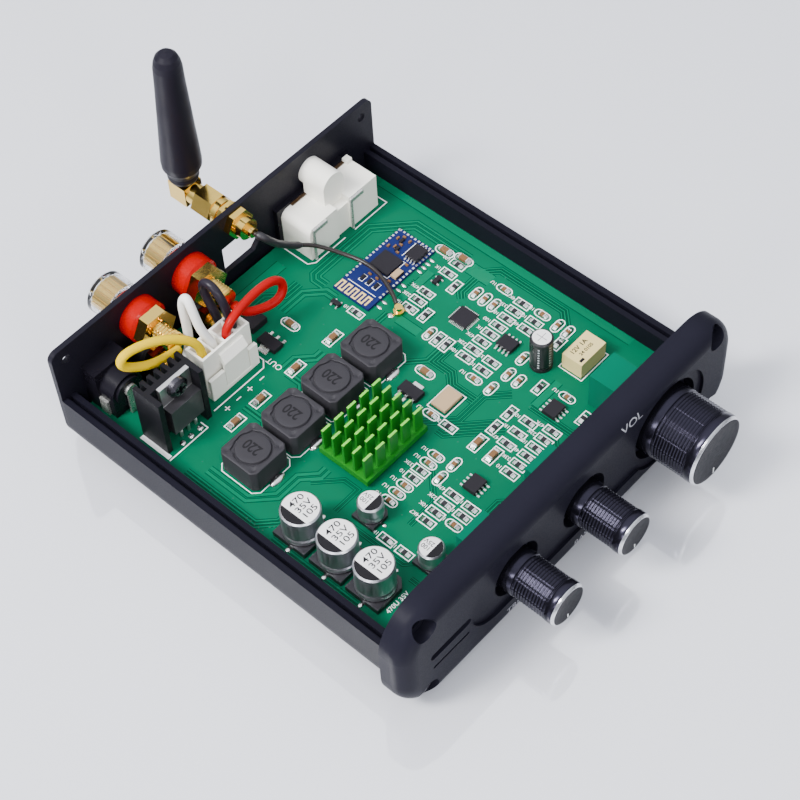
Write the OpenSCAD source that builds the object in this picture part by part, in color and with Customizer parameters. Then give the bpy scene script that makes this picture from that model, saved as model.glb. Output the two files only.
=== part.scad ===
// Small desktop digital amplifier with its upper cover taken off.
// X runs along the front panel, Y from front to back, Z up. The floor is Z = 0,
// and the middle of the lower shell is at X = 0, Y = 0.

/* [Case] */
// Width of the lower shell and of the back plate
case_w = 120; // [118:0.5:126]
// Length of the lower shell between its two end plates
case_l = 114.6; // [112:0.2:120]
// Height of the lower shell
shell_h = 18.2; // [17.3:0.1:20]
// Thickness of the shell's floor
shell_floor = 1.6; // [1.2:0.1:1.7]
// Height of the whole case, which the back plate covers
case_h = 36.3; // [36:0.1:38]
// Thickness of the back plate
plate_t = 1.6; // [1.2:0.1:3]
// Radius of the shell's rounded lower edges
shell_round = 7.7; // [7:0.1:8.4]
// Height of the rubber feet
foot_h = 1.1; // [0.6:0.1:2]
// Diameter of the rubber feet
foot_d = 11; // [8:0.5:16]

/* [Side walls] */
// Width of the shell's outer lip
lip_w = 1.7; // [1.2:0.1:2]
// Width of the groove that takes the cover's edge
groove_w = 1.1; // [0.8:0.1:1.4]
// Depth of that groove
groove_depth = 1.8; // [1:0.1:3]
// Width of the ridge inside the groove
ridge_w = 1.6; // [1.2:0.1:1.8]
// Height of the ledge that carries the circuit board
ledge_h = 9.9; // [9.6:0.1:10.4]
// Width of the ledge past the side wall's inner face
ledge_w = 2.8; // [2:0.1:4]
// Depth of the slots that hold the board's edges
slot_depth = 1.8; // [1:0.1:2]

/* [Screws] */
// Diameter of the case screws
screw_d = 2.5; // [2:0.1:2.6]
// Height of the lower screws above the shell's underside
screw_lift = 4.5; // [4.3:0.1:4.8]
// Length of the case screws under the head
screw_l = 12; // [10:0.5:20]

/* [Front panel] */
// Width of the front panel
panel_w = 128; // [124:1:134]
// Height of the front panel
panel_h = 37.4; // [36:0.1:38]
// Thickness of the front panel
panel_t = 8; // [7:0.1:10]
// Corner radius of the front panel
panel_corner = 13; // [11:0.5:15]
// Radius of the rounding round the panel's front edge
panel_round = 4.8; // [3:0.1:5]
// Depth of the shallow recess round the knobs
recess_depth = 0.9; // [0.5:0.1:1.5]
// Half the height of that recess
recess_r = 10; // [9:0.5:11]
// Radius of the recess round the volume knob
dial_r = 15; // [14:0.5:15.5]
// Depth of the round pockets that the knobs sink into
pocket_depth = 4; // [3:0.1:5]
// Gap round each knob in its pocket
pocket_gap = 1.9; // [1:0.1:2.5]

/* [Knobs] */
// Radius of the volume knob
volume_r = 10.2; // [9:0.1:11]
// Radius of the two tone knobs
tone_r = 6.1; // [5.5:0.1:7]
// Length of the knobs
knob_l = 18.6; // [16:0.1:22]
// Diameter of the control shafts
shaft_d = 6; // [5:0.1:6.4]
// Height of the control shafts above the board
shaft_lift = 6.5; // [6:0.1:7]
// Volume knob's distance from the middle
volume_x = 36; // [34:0.5:38]
// Bass knob's distance from the middle
bass_x = 3.3; // [1:0.5:5]
// Treble knob's distance from the middle, to the left
treble_x = 22.6; // [20:0.5:25]

/* [Circuit board] */
// Thickness of the circuit board
board_t = 1.6; // [1:0.1:1.8]
// Side of the four square output coils
coil_w = 12.8; // [10:0.1:13]
// Height of the coils
coil_h = 8; // [5:0.1:9]
// Diameter of the large capacitors
can_d = 10.5; // [8:0.1:11]
// Height of the large capacitors
can_h = 11.3; // [8:0.1:13]
// Width of the green heatsink
sink_w = 22.9; // [20:0.1:24]
// Depth of the green heatsink
sink_l = 16.8; // [15:0.1:17.4]
// Height of the green heatsink's top above the board
sink_top = 10.8; // [8:0.1:13]
// Height of the black heatsink
u_sink_h = 20; // [18:0.5:24]

/* [Speaker terminals] */
// Distance between the two columns of terminals
post_gap = 19; // [18:0.1:21]
// Distance between the two rows of terminals
post_rows = 14.2; // [13.6:0.1:14.6]
// Distance of the upper row below the plate's top edge
post_drop = 9.1; // [8.4:0.1:9.4]
// Radius of the insulating collars
collar_r = 6.2; // [6.2:0.1:6.5]
// Thickness of the inner collars
collar_l = 5.1; // [3:0.1:5.4]
// Thickness of the outer collars
washer_l = 3; // [2:0.1:3.5]
// Radius of the clear caps
cap_r = 6.2; // [5.8:0.1:6.5]
// Length of the clear caps
cap_l = 8.2; // [7:0.1:8.4]
// Diameter of the plug socket in each terminal
socket_d = 4; // [3.9:0.1:4.2]
// Radius of the threaded studs
stud_r = 2.9; // [2.2:0.1:3]

/* [Aerial] */
// Sideways place of the aerial socket
aerial_x = 5.8; // [4.5:0.1:7]
// Distance of the aerial socket below the plate's top edge
aerial_drop = 4.6; // [4.6:0.1:5.5]
// Height of the aerial's tip above its socket
whip_h = 51; // [40:0.5:80]
// Distance of the aerial behind the back plate
whip_y = 17.5; // [17.5:0.1:20]

/* [Hidden] */
$fn = 64;

// Clearances that every fit uses
fit_gap = 0.1;
run_gap = 0.05;
free_gap = 0.3;
through = 1;

// Levels and edges that the pieces share
half_w = case_w / 2;
half_l = case_l / 2;
wall_in = half_w - lip_w - groove_w - ridge_w;
floor_top = foot_h + shell_floor;
board_z = foot_h + ledge_h;
board_top = board_z + board_t;
plate_y = half_l + plate_t;
plate_top = foot_h + case_h;
panel_y = -half_l - panel_t;
panel_z = board_top + shaft_lift;
screw_x = wall_in;
screw_z = foot_h + screw_lift;
screw_z_top = plate_top - screw_lift;
screw_r = screw_d / 2;
head_r = screw_r * 2;
head_t = 1.9;
shaft_r = shaft_d / 2;
thread_pitch = 0.8;

// A box between two corners
module bar(low, high) {
    translate(low) cube(high - low);
}

// A round rod along Y
module rod_y(x, z, y0, y1, r) {
    translate([x, y0, z]) rotate([-90, 0, 0]) cylinder(h = y1 - y0, r = r);
}

// A round rod along Z
module rod_z(x, y, z0, z1, r) {
    translate([x, y, z0]) cylinder(h = z1 - z0, r = r);
}

// A six-sided rod along Y, given by its distance across flats
module hex_y(x, z, y0, y1, flats) {
    translate([x, y0, z]) rotate([-90, 0, 0])
        cylinder(h = y1 - y0, r = flats / sqrt(3), $fn = 6);
}

// A turned body along Y from [distance, radius] pairs, with its start at y
module turned_y(x, z, y, outline) {
    translate([x, y, z]) rotate([-90, 0, 0])
        rotate_extrude() polygon([for (p = outline) [p[1], p[0]]]);
}

// A flat slot with round ends along X, standing on Z = 0
module slot_x(x0, x1, y, r, h) {
    translate([x0, y, 0]) cylinder(h = h, r = r);
    translate([x1, y, 0]) cylinder(h = h, r = r);
    translate([x0, y - r, 0]) cube([x1 - x0, 2 * r, h]);
}

// Section of one side of the shell, seen along Y, with X measured from the middle
module wall_section() {
    rib_t = 1.6;
    port_wall = 3;
    difference() {
        union() {
            square([half_w - shell_round, shell_floor]);
            translate([half_w - shell_round, shell_round]) intersection() {
                difference() {
                    circle(shell_round);
                    circle(shell_round - lip_w);
                }
                translate([0, -shell_round]) square(shell_round);
            }
            translate([half_w - lip_w, shell_round - 0.1])
                square([lip_w, shell_h - shell_round + 0.1]);
            translate([wall_in, ledge_h - rib_t])
                square([half_w - wall_in, shell_h - ledge_h + rib_t]);
            translate([wall_in - ledge_w, ledge_h - rib_t])
                square([ledge_w + through, rib_t]);
            translate([screw_x, screw_lift]) circle(port_wall);
        }
        translate([half_w - lip_w - groove_w, shell_h - groove_depth])
            square([groove_w, groove_depth + through]);
        translate([wall_in - through, ledge_h])
            square([slot_depth + through, board_t + fit_gap]);
    }
}

module lower_shell() {
    port_r = screw_r + fit_gap;
    color("dimgray") difference() {
        translate([0, half_l, foot_h]) rotate([90, 0, 0]) linear_extrude(case_l) {
            wall_section();
            mirror([1, 0]) wall_section();
        }
        for (side = [-1, 1])
            rod_y(side * screw_x, screw_z, -half_l - through, half_l + through, port_r);
    }
}

// Section through the panel's rounded edge: X outwards, Y towards the front
module edge_section() {
    square([panel_corner, panel_t - panel_round]);
    square([panel_corner - panel_round, panel_t]);
    intersection() {
        translate([panel_corner - panel_round, panel_t - panel_round])
            circle(panel_round);
        square([panel_corner, panel_t]);
    }
}

// The plain panel on its back, with its front face up
module panel_blank() {
    long = panel_w - 2 * panel_corner;
    tall = panel_h - 2 * panel_corner;
    for (sx = [-1, 1], sy = [-1, 1])
        translate([sx * long / 2, sy * tall / 2, 0]) rotate_extrude() edge_section();
    for (flip = [0, 1]) mirror([0, flip, 0])
        translate([-long / 2, tall / 2, 0]) rotate([90, 0, 90])
            linear_extrude(long) edge_section();
    for (flip = [0, 1]) mirror([flip, 0, 0])
        translate([long / 2, tall / 2, 0]) rotate([90, 0, 0])
            linear_extrude(tall) edge_section();
    translate([-long / 2, -tall / 2, 0]) cube([long, tall, panel_t]);
}

control_x = [volume_x, bass_x, -treble_x];
control_r = [volume_r, tone_r, tone_r];
bush_r = shaft_r + 0.5;
recess_left = -30.2;
counterbore_r = head_r + 0.7;
counterbore_depth = 3.6;

module front_panel() {
    face = panel_t - recess_depth;
    mark_left = -53.6;
    mark_right = -41.6;
    color("slategray") translate([0, -half_l, panel_z]) rotate([90, 0, 0]) difference() {
        panel_blank();
        translate([0, 0, face]) {
            slot_x(recess_left, volume_x, 0, recess_r, recess_depth + through);
            translate([volume_x, 0, 0]) cylinder(h = recess_depth + through, r = dial_r);
            slot_x(mark_left, mark_right, 0.1, 1.2, recess_depth + through);
            slot_x(mark_left, mark_right, -4.9, 0.45, recess_depth + through);
        }
        for (i = [0:2]) translate([control_x[i], 0, 0]) {
            translate([0, 0, panel_t - pocket_depth])
                cylinder(h = pocket_depth + through, r = control_r[i] + pocket_gap);
            translate([0, 0, -through])
                cylinder(h = panel_t + 2 * through, r = bush_r + fit_gap);
        }
        for (side = [-1, 1], z = [screw_z, screw_z_top])
            translate([side * screw_x, z - panel_z, 0]) {
                translate([0, 0, -through])
                    cylinder(h = panel_t + 2 * through, r = screw_r + fit_gap);
                translate([0, 0, panel_t - counterbore_depth])
                    cylinder(h = counterbore_depth + through, r = counterbore_r);
            }
    }
}

// The upper and the lower row of terminals, left column first
post_x = [-31.6, -31.6 + post_gap];
post_z = [plate_top - post_drop, plate_top - post_drop - post_rows];
post_spots = [for (z = post_z, x = post_x) [x, z]];
jack_x = -half_w + 13.5;
jack_z = board_top + 7.4;
jack_nose_r = 5;
rca_x = half_w - 26;
rca_pitch = 15.6;
rca_z = board_top + 7.2;
rca_boss_z = board_top + 17.3;
rca_shell_r = 4.2;
aerial_z = plate_top - aerial_drop;
sma_r = 3.15;

// Outline of the back plate, which follows the shell's rounded lower edges
module plate_outline() {
    corner = 2.5;
    translate([shell_round - half_w, 0]) square([case_w - 2 * shell_round, case_h]);
    translate([-half_w, shell_round]) square([case_w, case_h - shell_round - corner]);
    translate([corner - half_w, shell_round])
        square([case_w - 2 * corner, case_h - shell_round]);
    for (side = [-1, 1]) {
        translate([side * (half_w - shell_round), shell_round]) circle(shell_round);
        translate([side * (half_w - corner), case_h - corner]) circle(corner);
    }
}

module back_panel() {
    corner = 2;
    window_low = [-0.3, 15.3];
    window_high = [12.8, 25.2];
    hole_y0 = half_l - through;
    hole_y1 = plate_y + through;
    color("darkslategray") difference() {
        translate([0, plate_y, foot_h]) rotate([90, 0, 0]) linear_extrude(plate_t)
            plate_outline();
        translate([0, plate_y + through, foot_h]) rotate([90, 0, 0])
            linear_extrude(plate_t + 2 * through)
                polygon([window_low, [window_high[0] - corner, window_low[1]],
                    [window_high[0], window_low[1] + corner], window_high,
                    [window_low[0], window_high[1]]]);
        for (p = post_spots)
            rod_y(p[0], p[1], hole_y0, hole_y1, stud_r + free_gap);
        rod_y(jack_x, jack_z, hole_y0, hole_y1, jack_nose_r + free_gap);
        for (side = [-1, 1])
            rod_y(rca_x + side * rca_pitch / 2, rca_z, hole_y0, hole_y1,
                rca_shell_r + free_gap);
        rod_y(rca_x, rca_boss_z, hole_y0, hole_y1, screw_r + fit_gap);
        rod_y(aerial_x, aerial_z, hole_y0, hole_y1, sma_r + fit_gap);
        for (side = [-1, 1], z = [screw_z, screw_z_top])
            rod_y(side * screw_x, z, hole_y0, hole_y1, screw_r + fit_gap);
    }
}

// A screw along Y with its head at the end that faces dir
module screw_y(x, z, seat_y, dir, length) {
    recess_w = 0.6;
    recess_l = head_r * 1.2;
    recess_depth_s = 0.9;
    translate([x, seat_y, z]) rotate([dir > 0 ? -90 : 90, 0, 0]) difference() {
        union() {
            translate([0, 0, -length]) cylinder(h = length, r = screw_r);
            cylinder(h = head_t, r = head_r);
        }
        for (turn = [0, 90]) rotate([0, 0, turn])
            translate([-recess_l / 2, -recess_w / 2, head_t - recess_depth_s])
                cube([recess_l, recess_w, recess_depth_s + through]);
    }
}

module case_screws() {
    color("silver") for (side = [-1, 1]) {
        screw_y(side * screw_x, screw_z, panel_y + counterbore_depth, -1, screw_l);
        screw_y(side * screw_x, screw_z, plate_y, 1, screw_l);
    }
}

module rubber_feet() {
    inset = 14;
    color("black") for (sx = [-1, 1], sy = [-1, 1])
        rod_z(sx * (half_w - inset), sy * (half_l - inset), 0, foot_h, foot_d / 2);
}

// Notches in the board's back edge leave room for the lower terminals
board_half = wall_in + slot_depth - free_gap;
board_front = -half_l + 0.5;
board_back = half_l - 1.1;

module main_board() {
    notch_half = collar_r + 0.9;
    notch_l = half_l - stud_end + 0.6;
    color("green") difference() {
        bar([-board_half, board_front, board_z], [board_half, board_back, board_top]);
        for (x = post_x)
            bar([x - notch_half, half_l - notch_l, board_z - through],
                [x + notch_half, board_back + through, board_top + through]);
    }
}

// Depth of the body behind each control
pot_w = 10;
pot_h = 12;
pot_front = -half_l + 0.3;
volume_pot_l = 13.2;
tone_pot_l = 7.5;
shaft_in = 4;
shaft_out = 14;

module pot(x, length) {
    wall = 0.6;
    color("teal") difference() {
        union() {
            bar([x - pot_w / 2, pot_front, board_top],
                [x + pot_w / 2, pot_front + length, board_top + pot_h]);
            rod_y(x, panel_z, -half_l - panel_t + pocket_depth, pot_front + wall, bush_r);
        }
        rod_y(x, panel_z, -half_l - panel_t, pot_front + shaft_in + wall,
            shaft_r + run_gap);
    }
}

module volume_pot() pot(control_x[0], volume_pot_l);
module bass_pot() pot(control_x[1], tone_pot_l);
module treble_pot() pot(control_x[2], tone_pot_l);

module control_shaft(x) {
    color("silver")
        rod_y(x, panel_z, panel_y - shaft_out + pocket_depth, pot_front + shaft_in,
            shaft_r);
}

module volume_shaft() control_shaft(control_x[0]);
module bass_shaft() control_shaft(control_x[1]);
module treble_shaft() control_shaft(control_x[2]);

// A turned knob: collar, ring groove, finely ridged grip, ring groove, bright rim
module knob(x, r) {
    collar = 6.6;
    groove = 0.5;
    groove_in = 0.6;
    grip = 8.2;
    ridges = 14;
    ridge_in = 0.18;
    rim = 0.9;
    pitch = grip / ridges;
    grip_0 = collar + groove;
    grip_1 = grip_0 + grip;
    back = panel_y + pocket_depth - free_gap * 2;
    ring_points = [for (i = [0:ridges - 1], k = [0, 1])
        [grip_0 + (i + 0.25 + k * 0.5) * pitch, k == 0 ? r : r - ridge_in]];
    outline = concat([[0, 0], [0, r - 0.5], [0.5, r], [collar, r],
            [collar, r - groove_in], [grip_0, r - groove_in], [grip_0, r]],
        ring_points,
        [[grip_1, r], [grip_1, r - groove_in], [grip_1 + groove, r - groove_in],
            [grip_1 + groove, r], [knob_l - rim, r], [knob_l, r - rim], [knob_l, 0]]);
    color("lightsteelblue") difference() {
        mirror([0, 1, 0]) turned_y(x, panel_z, -back, outline);
        rod_y(x, panel_z, panel_y - shaft_out + pocket_depth - free_gap, back + through,
            shaft_r + run_gap);
    }
}

module volume_knob() knob(control_x[0], control_r[0]);
module bass_knob() knob(control_x[1], control_r[1]);
module treble_knob() knob(control_x[2], control_r[2]);

jack_pin_r = 1;
jack_back = half_l - 11.4;

module power_jack() {
    bezel_w = 11.4;
    bezel_l = 5.3;
    barrel_w = 10.4;
    top = jack_z + 6.3;
    bore_r = 3.2;
    bore_y = half_l - 8.4;
    step = 0.9;
    color("black") difference() {
        union() {
            bar([jack_x - bezel_w / 2, half_l - bezel_l, board_top],
                [jack_x + bezel_w / 2, half_l, top]);
            rod_y(jack_x, jack_z, jack_back + step, half_l - bezel_l + 0.1, barrel_w / 2);
            rod_y(jack_x, jack_z, jack_back, jack_back + 2 * step, barrel_w / 2 - step);
            bar([jack_x - barrel_w / 2, jack_back + step, board_top],
                [jack_x + barrel_w / 2, half_l - bezel_l + 0.1, jack_z]);
            rod_y(jack_x, jack_z, half_l - through, plate_y, jack_nose_r);
        }
        rod_y(jack_x, jack_z, bore_y, plate_y + through, bore_r);
        rod_y(jack_x, jack_z, jack_back - through, bore_y + through,
            jack_pin_r + run_gap);
    }
}

module jack_contacts() {
    rivet_r = 1.8;
    rivet_t = 0.9;
    rivet_lift = 1;
    tab_w = 3;
    tab_t = 0.7;
    side_x = jack_x - 5.2;
    color("silver") {
        rod_y(jack_x, jack_z, jack_back - rivet_t, half_l, jack_pin_r);
        rod_y(jack_x, jack_z + rivet_lift, jack_back - rivet_t, jack_back, rivet_r);
        bar([jack_x - tab_w / 2, jack_back - rivet_t, board_top],
            [jack_x + tab_w / 2, jack_back - rivet_t + tab_t, jack_z]);
        bar([side_x - tab_t, jack_back + 3, board_top],
            [side_x, jack_back + 3 + tab_w, board_top + 5.5]);
    }
}

// The twin phono socket: two towers, a screw boss between them and a front flange
rca_w = 27;
rca_front = half_l - 12.4;
rca_flange_t = 1.6;
rca_back = half_l - rca_flange_t;
rca_tower_w = 11;
rca_top = board_top + 12;
rca_boss_r = 4;
rca_boss_front = half_l - 9.4;
rca_pocket_r = 3.3;
rca_screw_l = 8;

module rca_housing() {
    left = rca_x - rca_w / 2;
    right = rca_x + rca_w / 2;
    low_top = board_top + 10;
    corner = 2.5;
    color("white") difference() {
        union() {
            bar([left + rca_tower_w - 0.1, rca_front + 0.6, board_top],
                [right - rca_tower_w + 0.1, rca_back, low_top]);
            bar([left, rca_front, board_top], [left + rca_tower_w, rca_back,
                rca_top - corner]);
            bar([left + corner, rca_front, board_top], [left + rca_tower_w, rca_back,
                rca_top]);
            rod_y(left + corner, rca_top - corner, rca_front, rca_back, corner);
            bar([right - rca_tower_w, rca_front, board_top],
                [right, rca_back, rca_top]);
            bar([rca_x - rca_boss_r, rca_boss_front, low_top - 0.1],
                [rca_x + rca_boss_r, rca_back, rca_boss_z]);
            rod_y(rca_x, rca_boss_z, rca_boss_front, half_l, rca_boss_r);
            bar([right - 2.2, rca_back - 2, rca_top - 0.1],
                [right - 0.2, rca_back, rca_top + 1.4]);
        }
        rod_y(rca_x, rca_boss_z, half_l - rca_screw_l, half_l + through,
            screw_r + fit_gap);
        for (side = [-1, 1])
            rod_y(rca_x + side * rca_pitch / 2, rca_z, rca_front + 4,
                half_l + through, rca_pocket_r + fit_gap);
    }
}

module rca_faceplate() {
    flange_w = 29.6;
    top = board_top + 13;
    color("black") difference() {
        bar([rca_x - flange_w / 2, rca_back, board_top],
            [rca_x + flange_w / 2, half_l, top]);
        for (side = [-1, 1])
            rod_y(rca_x + side * rca_pitch / 2, rca_z, rca_back - through,
                half_l + through, rca_shell_r + free_gap);
        rod_y(rca_x, rca_boss_z, rca_back - through, half_l + through,
            rca_boss_r + fit_gap);
    }
}

module rca_barrels() {
    length = 9;
    bore_r = 1.7;
    neck_r = rca_shell_r - 0.2;
    color("gold") for (side = [-1, 1]) difference() {
        union() {
            rod_y(rca_x + side * rca_pitch / 2, rca_z, plate_y, plate_y + length,
                rca_shell_r);
            rod_y(rca_x + side * rca_pitch / 2, rca_z, rca_back, plate_y + 0.1, neck_r);
            rod_y(rca_x + side * rca_pitch / 2, rca_z, rca_front + 4, rca_back + 0.1,
                rca_pocket_r);
        }
        rod_y(rca_x + side * rca_pitch / 2, rca_z, half_l - 4, plate_y + length + through,
            bore_r);
    }
}

module rca_contacts() {
    strip_w = 5.2;
    strip_t = 0.5;
    pin_w = 0.9;
    strip_z = rca_top - 3;
    color("silver") for (x = [rca_x - rca_w / 2 + 3.4, rca_x + rca_w / 2 - 8.6]) {
        bar([x - strip_w / 2, rca_front - strip_t, strip_z],
            [x + strip_w / 2, rca_front, rca_top]);
        bar([x - strip_w / 2, rca_front - strip_t, board_top],
            [x - strip_w / 2 + pin_w, rca_front, strip_z + 0.1]);
    }
}

module rca_screw() {
    color("silver") screw_y(rca_x, rca_boss_z, plate_y, 1, rca_screw_l);
}

// The insulating collars on both sides of the plate, for one row of terminals
module collars(row) {
    edge = 0.8;
    for (x = post_x) difference() {
        union() {
            turned_y(x, row, half_l - collar_l, [[0, 0], [0, collar_r - edge],
                [edge, collar_r], [collar_l, collar_r], [collar_l, 0]]);
            turned_y(x, row, plate_y, [[0, 0], [0, collar_r], [washer_l - edge, collar_r],
                [washer_l, collar_r - edge], [washer_l, 0]]);
        }
        rod_y(x, row, half_l - collar_l - through, plate_y + washer_l + through,
            stud_r + fit_gap);
    }
}

module red_collars() {
    color("red") collars(post_z[0]);
}

module black_collars() {
    color("black") collars(post_z[1]);
}

nut_t = 3.3;
nut_flats = 10.6;

module post_nuts() {
    nut_y = half_l - collar_l - nut_t;
    color("gold") for (p = post_spots) difference() {
        hex_y(p[0], p[1], nut_y, nut_y + nut_t, nut_flats);
        rod_y(p[0], p[1], nut_y - through, nut_y + nut_t + through, stud_r + fit_gap);
    }
}

// Each stud is threaded inside and a plug socket outside
stud_end = half_l - 15;
sleeve_y = plate_y + washer_l;
socket_wall = 1.2;
socket_out_r = socket_d / 2 + socket_wall;
cap_end_t = 1.5;
socket_l = cap_l - cap_end_t;

module post_studs() {
    bore_l = socket_l - 1;
    crest = stud_r * 0.1;
    turns = 7;
    core_l = half_l - stud_end;
    thread_l = core_l - collar_l - nut_t;
    thread_points = [for (i = [0:turns - 1], k = [0, 1])
        [(i + 0.25 + k * 0.5) * thread_l / turns, stud_r - k * crest]];
    color("gold") for (p = post_spots) difference() {
        union() {
            turned_y(p[0], p[1], stud_end, concat([[0, 0], [0, stud_r - crest]],
                thread_points, [[thread_l, stud_r], [sleeve_y - stud_end + 0.1, stud_r],
                [sleeve_y - stud_end + 0.1, 0]]));
            rod_y(p[0], p[1], sleeve_y, sleeve_y + socket_l, socket_out_r);
        }
        rod_y(p[0], p[1], sleeve_y + socket_l - bore_l, sleeve_y + socket_l + through,
            socket_d / 2);
    }
}

// A knurled metal sleeve inside each clear cap turns with it
sleeve_r = cap_r - 1.3;

module post_sleeve(i) {
    inner_r = socket_out_r + free_gap;
    notches = 20;
    notch_r = 0.25;
    p = post_spots[i];
    y0 = sleeve_y + free_gap;
    color("goldenrod") difference() {
        rod_y(p[0], p[1], y0, y0 + socket_l, sleeve_r);
        rod_y(p[0], p[1], y0 - through, y0 + socket_l + through, inner_r);
        for (k = [0:notches - 1])
            rod_y(p[0] + sleeve_r * cos(k * 360 / notches),
                p[1] + sleeve_r * sin(k * 360 / notches), y0 - through,
                y0 + socket_l + through, notch_r);
    }
}

module post_cap(i) {
    edge = 0.8;
    p = post_spots[i];
    y0 = sleeve_y + free_gap;
    color("whitesmoke", 0.5) difference() {
        turned_y(p[0], p[1], y0, [[0, 0], [0, cap_r], [cap_l - edge, cap_r],
            [cap_l, cap_r - edge], [cap_l, 0]]);
        rod_y(p[0], p[1], y0 - through, y0 + socket_l, sleeve_r + fit_gap);
        rod_y(p[0], p[1], y0, y0 + cap_l + through, socket_d / 2 + free_gap);
    }
}

module post_sleeve_1() post_sleeve(0);
module post_sleeve_2() post_sleeve(1);
module post_sleeve_3() post_sleeve(2);
module post_sleeve_4() post_sleeve(3);
module post_cap_1() post_cap(0);
module post_cap_2() post_cap(1);
module post_cap_3() post_cap(2);
module post_cap_4() post_cap(3);

sma_flats = 8;
sma_hex_t = 2.2;
sma_in = half_l - 5;
sma_tail = half_l - 7;
sma_tail_r = 1.5;
sma_out = plate_y + 9;

module sma_jack() {
    core_r = 1.2;
    color("gold") difference() {
        union() {
            hex_y(aerial_x, aerial_z, half_l - sma_hex_t, half_l, sma_flats);
            rod_y(aerial_x, aerial_z, sma_in, sma_out, sma_r);
            rod_y(aerial_x, aerial_z, sma_tail, sma_in + 0.1, sma_tail_r);
        }
        rod_y(aerial_x, aerial_z, plate_y + 3, sma_out + through, core_r);
    }
}

module sma_nut() {
    washer_r = 4.8;
    washer_t = 0.5;
    nut_l = 2;
    color("gold") difference() {
        union() {
            rod_y(aerial_x, aerial_z, plate_y, plate_y + washer_t, washer_r);
            hex_y(aerial_x, aerial_z, plate_y + washer_t, plate_y + nut_l, sma_flats);
        }
        rod_y(aerial_x, aerial_z, plate_y - through, plate_y + nut_l + through,
            sma_r + fit_gap);
    }
}

whip_axis_y = plate_y + whip_y;
coupling_y0 = plate_y + 2.6;
coupling_y1 = plate_y + 11;
elbow_r = 3.1;
whip_foot = 3.4;

module antenna_nut() {
    mouth = 6.4;
    throat_r = 2.1;
    color("goldenrod") difference() {
        union() {
            hex_y(aerial_x, aerial_z, coupling_y0 + 2, coupling_y1, sma_flats);
            rod_y(aerial_x, aerial_z, coupling_y0, coupling_y0 + 2.1, 3.9);
        }
        rod_y(aerial_x, aerial_z, coupling_y0 - through, coupling_y0 + mouth + 0.2,
            sma_r + fit_gap);
        rod_y(aerial_x, aerial_z, coupling_y0, coupling_y1 + through,
            throat_r + free_gap);
    }
}

// The right-angle block turns in the coupling nut and carries the aerial
module antenna_elbow() {
    throat_r = 2.1;
    block = 3.2;
    pin_l = 1.6;
    color("gold") {
        rod_y(aerial_x, aerial_z, coupling_y1 - pin_l, coupling_y1 + free_gap + 0.1,
            throat_r);
        rod_y(aerial_x, aerial_z, coupling_y1 + free_gap, whip_axis_y - block + 0.1,
            elbow_r);
        bar([aerial_x - block, whip_axis_y - block, aerial_z - block],
            [aerial_x + block, whip_axis_y + block, aerial_z + block]);
        rod_z(aerial_x, whip_axis_y, aerial_z + block - 0.1, aerial_z + whip_foot,
            elbow_r - 0.3);
    }
}

module antenna_whip() {
    lean = 2.4;
    lean_gap = 0.13;
    length = whip_h - whip_foot - lean_gap;
    color("black") translate([aerial_x, whip_axis_y, aerial_z + whip_foot + lean_gap])
        rotate([lean, 0, 0]) rotate_extrude() polygon([[0, 0], [2.6, 0], [3.9, 0.8],
            [4.4, 2], [4.3, 3.4], [4.7, 4.6], [5.5, 6.2], [5.6, 8], [5.4, 12], [4.75, 24],
            [4.15, 36], [3.9, length - 5], [3.6, length - 3.2], [3, length - 1.6],
            [2, length - 0.5], [0, length]]);
}

// A round lead swept along its route with eight sides
lead_sides = 8;
function unit(v) = v / norm(v);
function heading(path, i) =
    i == 0 ? unit(path[1] - path[0]) :
    i == len(path) - 1 ? unit(path[i] - path[i - 1]) :
    unit(unit(path[i] - path[i - 1]) + unit(path[i + 1] - path[i]));
function side_of(t, hint) = unit(hint - (hint * t) * t);
function frames(path, hint, i = 0) =
    i == len(path) ? [] :
    let(s = side_of(heading(path, i), hint)) concat([s], frames(path, s, i + 1));

module lead(path, r, start, finish) {
    n = len(path);
    dirs = [for (i = [0:n - 1]) i == 0 ? start : i == n - 1 ? finish : heading(path, i)];
    hints = frames(path, [0.3, 0.5, 0.81]);
    points = [for (i = [0:n - 1], k = [0:lead_sides - 1])
        let(u = side_of(dirs[i], hints[i]), v = cross(dirs[i], u),
            a = k * 360 / lead_sides)
        path[i] + r * (cos(a) * u + sin(a) * v)];
    sides = [for (i = [0:n - 2], k = [0:lead_sides - 1])
        let(a = i * lead_sides + k, b = i * lead_sides + (k + 1) % lead_sides)
        [a, a + lead_sides, b + lead_sides, b]];
    ends = [[for (k = [0:lead_sides - 1]) k],
        [for (k = [lead_sides - 1:-1:0]) (n - 1) * lead_sides + k]];
    polyhedron(points, concat(sides, ends));
}

// The output leads rise from the plug's pockets and end beside the terminals' studs
wire_r = 1.25;
yellow_route = [[-29.2, 35.6, 25.2], [-29.4, 35.5, 28], [-29.8, 36.1, 30.8],
    [-31.6, 37.3, 33.5], [-35.4, 39.3, 36.2], [-40.3, 41.3, 37.9], [-45.2, 42.6, 38.6],
    [-48.1, 43, 38.2], [-49, 43.2, 36.6], [-48.2, 43, 34.5], [-45.4, 42.2, 32.2],
    [-41.9, 41.3, 30.5], [-38.7, 41, 29.3], [-35.3, 40.9, 28.4], [-32.2, 40.95, 27.8]];
white_route = [[-24.9, 36.2, 25.2], [-25.3, 36.3, 28], [-26.2, 36.8, 31],
    [-26.8, 37.8, 34.3], [-26.8, 39.1, 38], [-26.6, 40.3, 40.7], [-26.4, 41.7, 42.1],
    [-26.6, 42.9, 40.7], [-26.9, 43.2, 37.4], [-26.8, 43.2, 33], [-26.8, 43.2, 28.8],
    [-27.1, 43.2, 24], [-28, 43.3, 20.6], [-29.05, 43.3, 18.5], [-29.95, 43.3, 16.95]];
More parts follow.
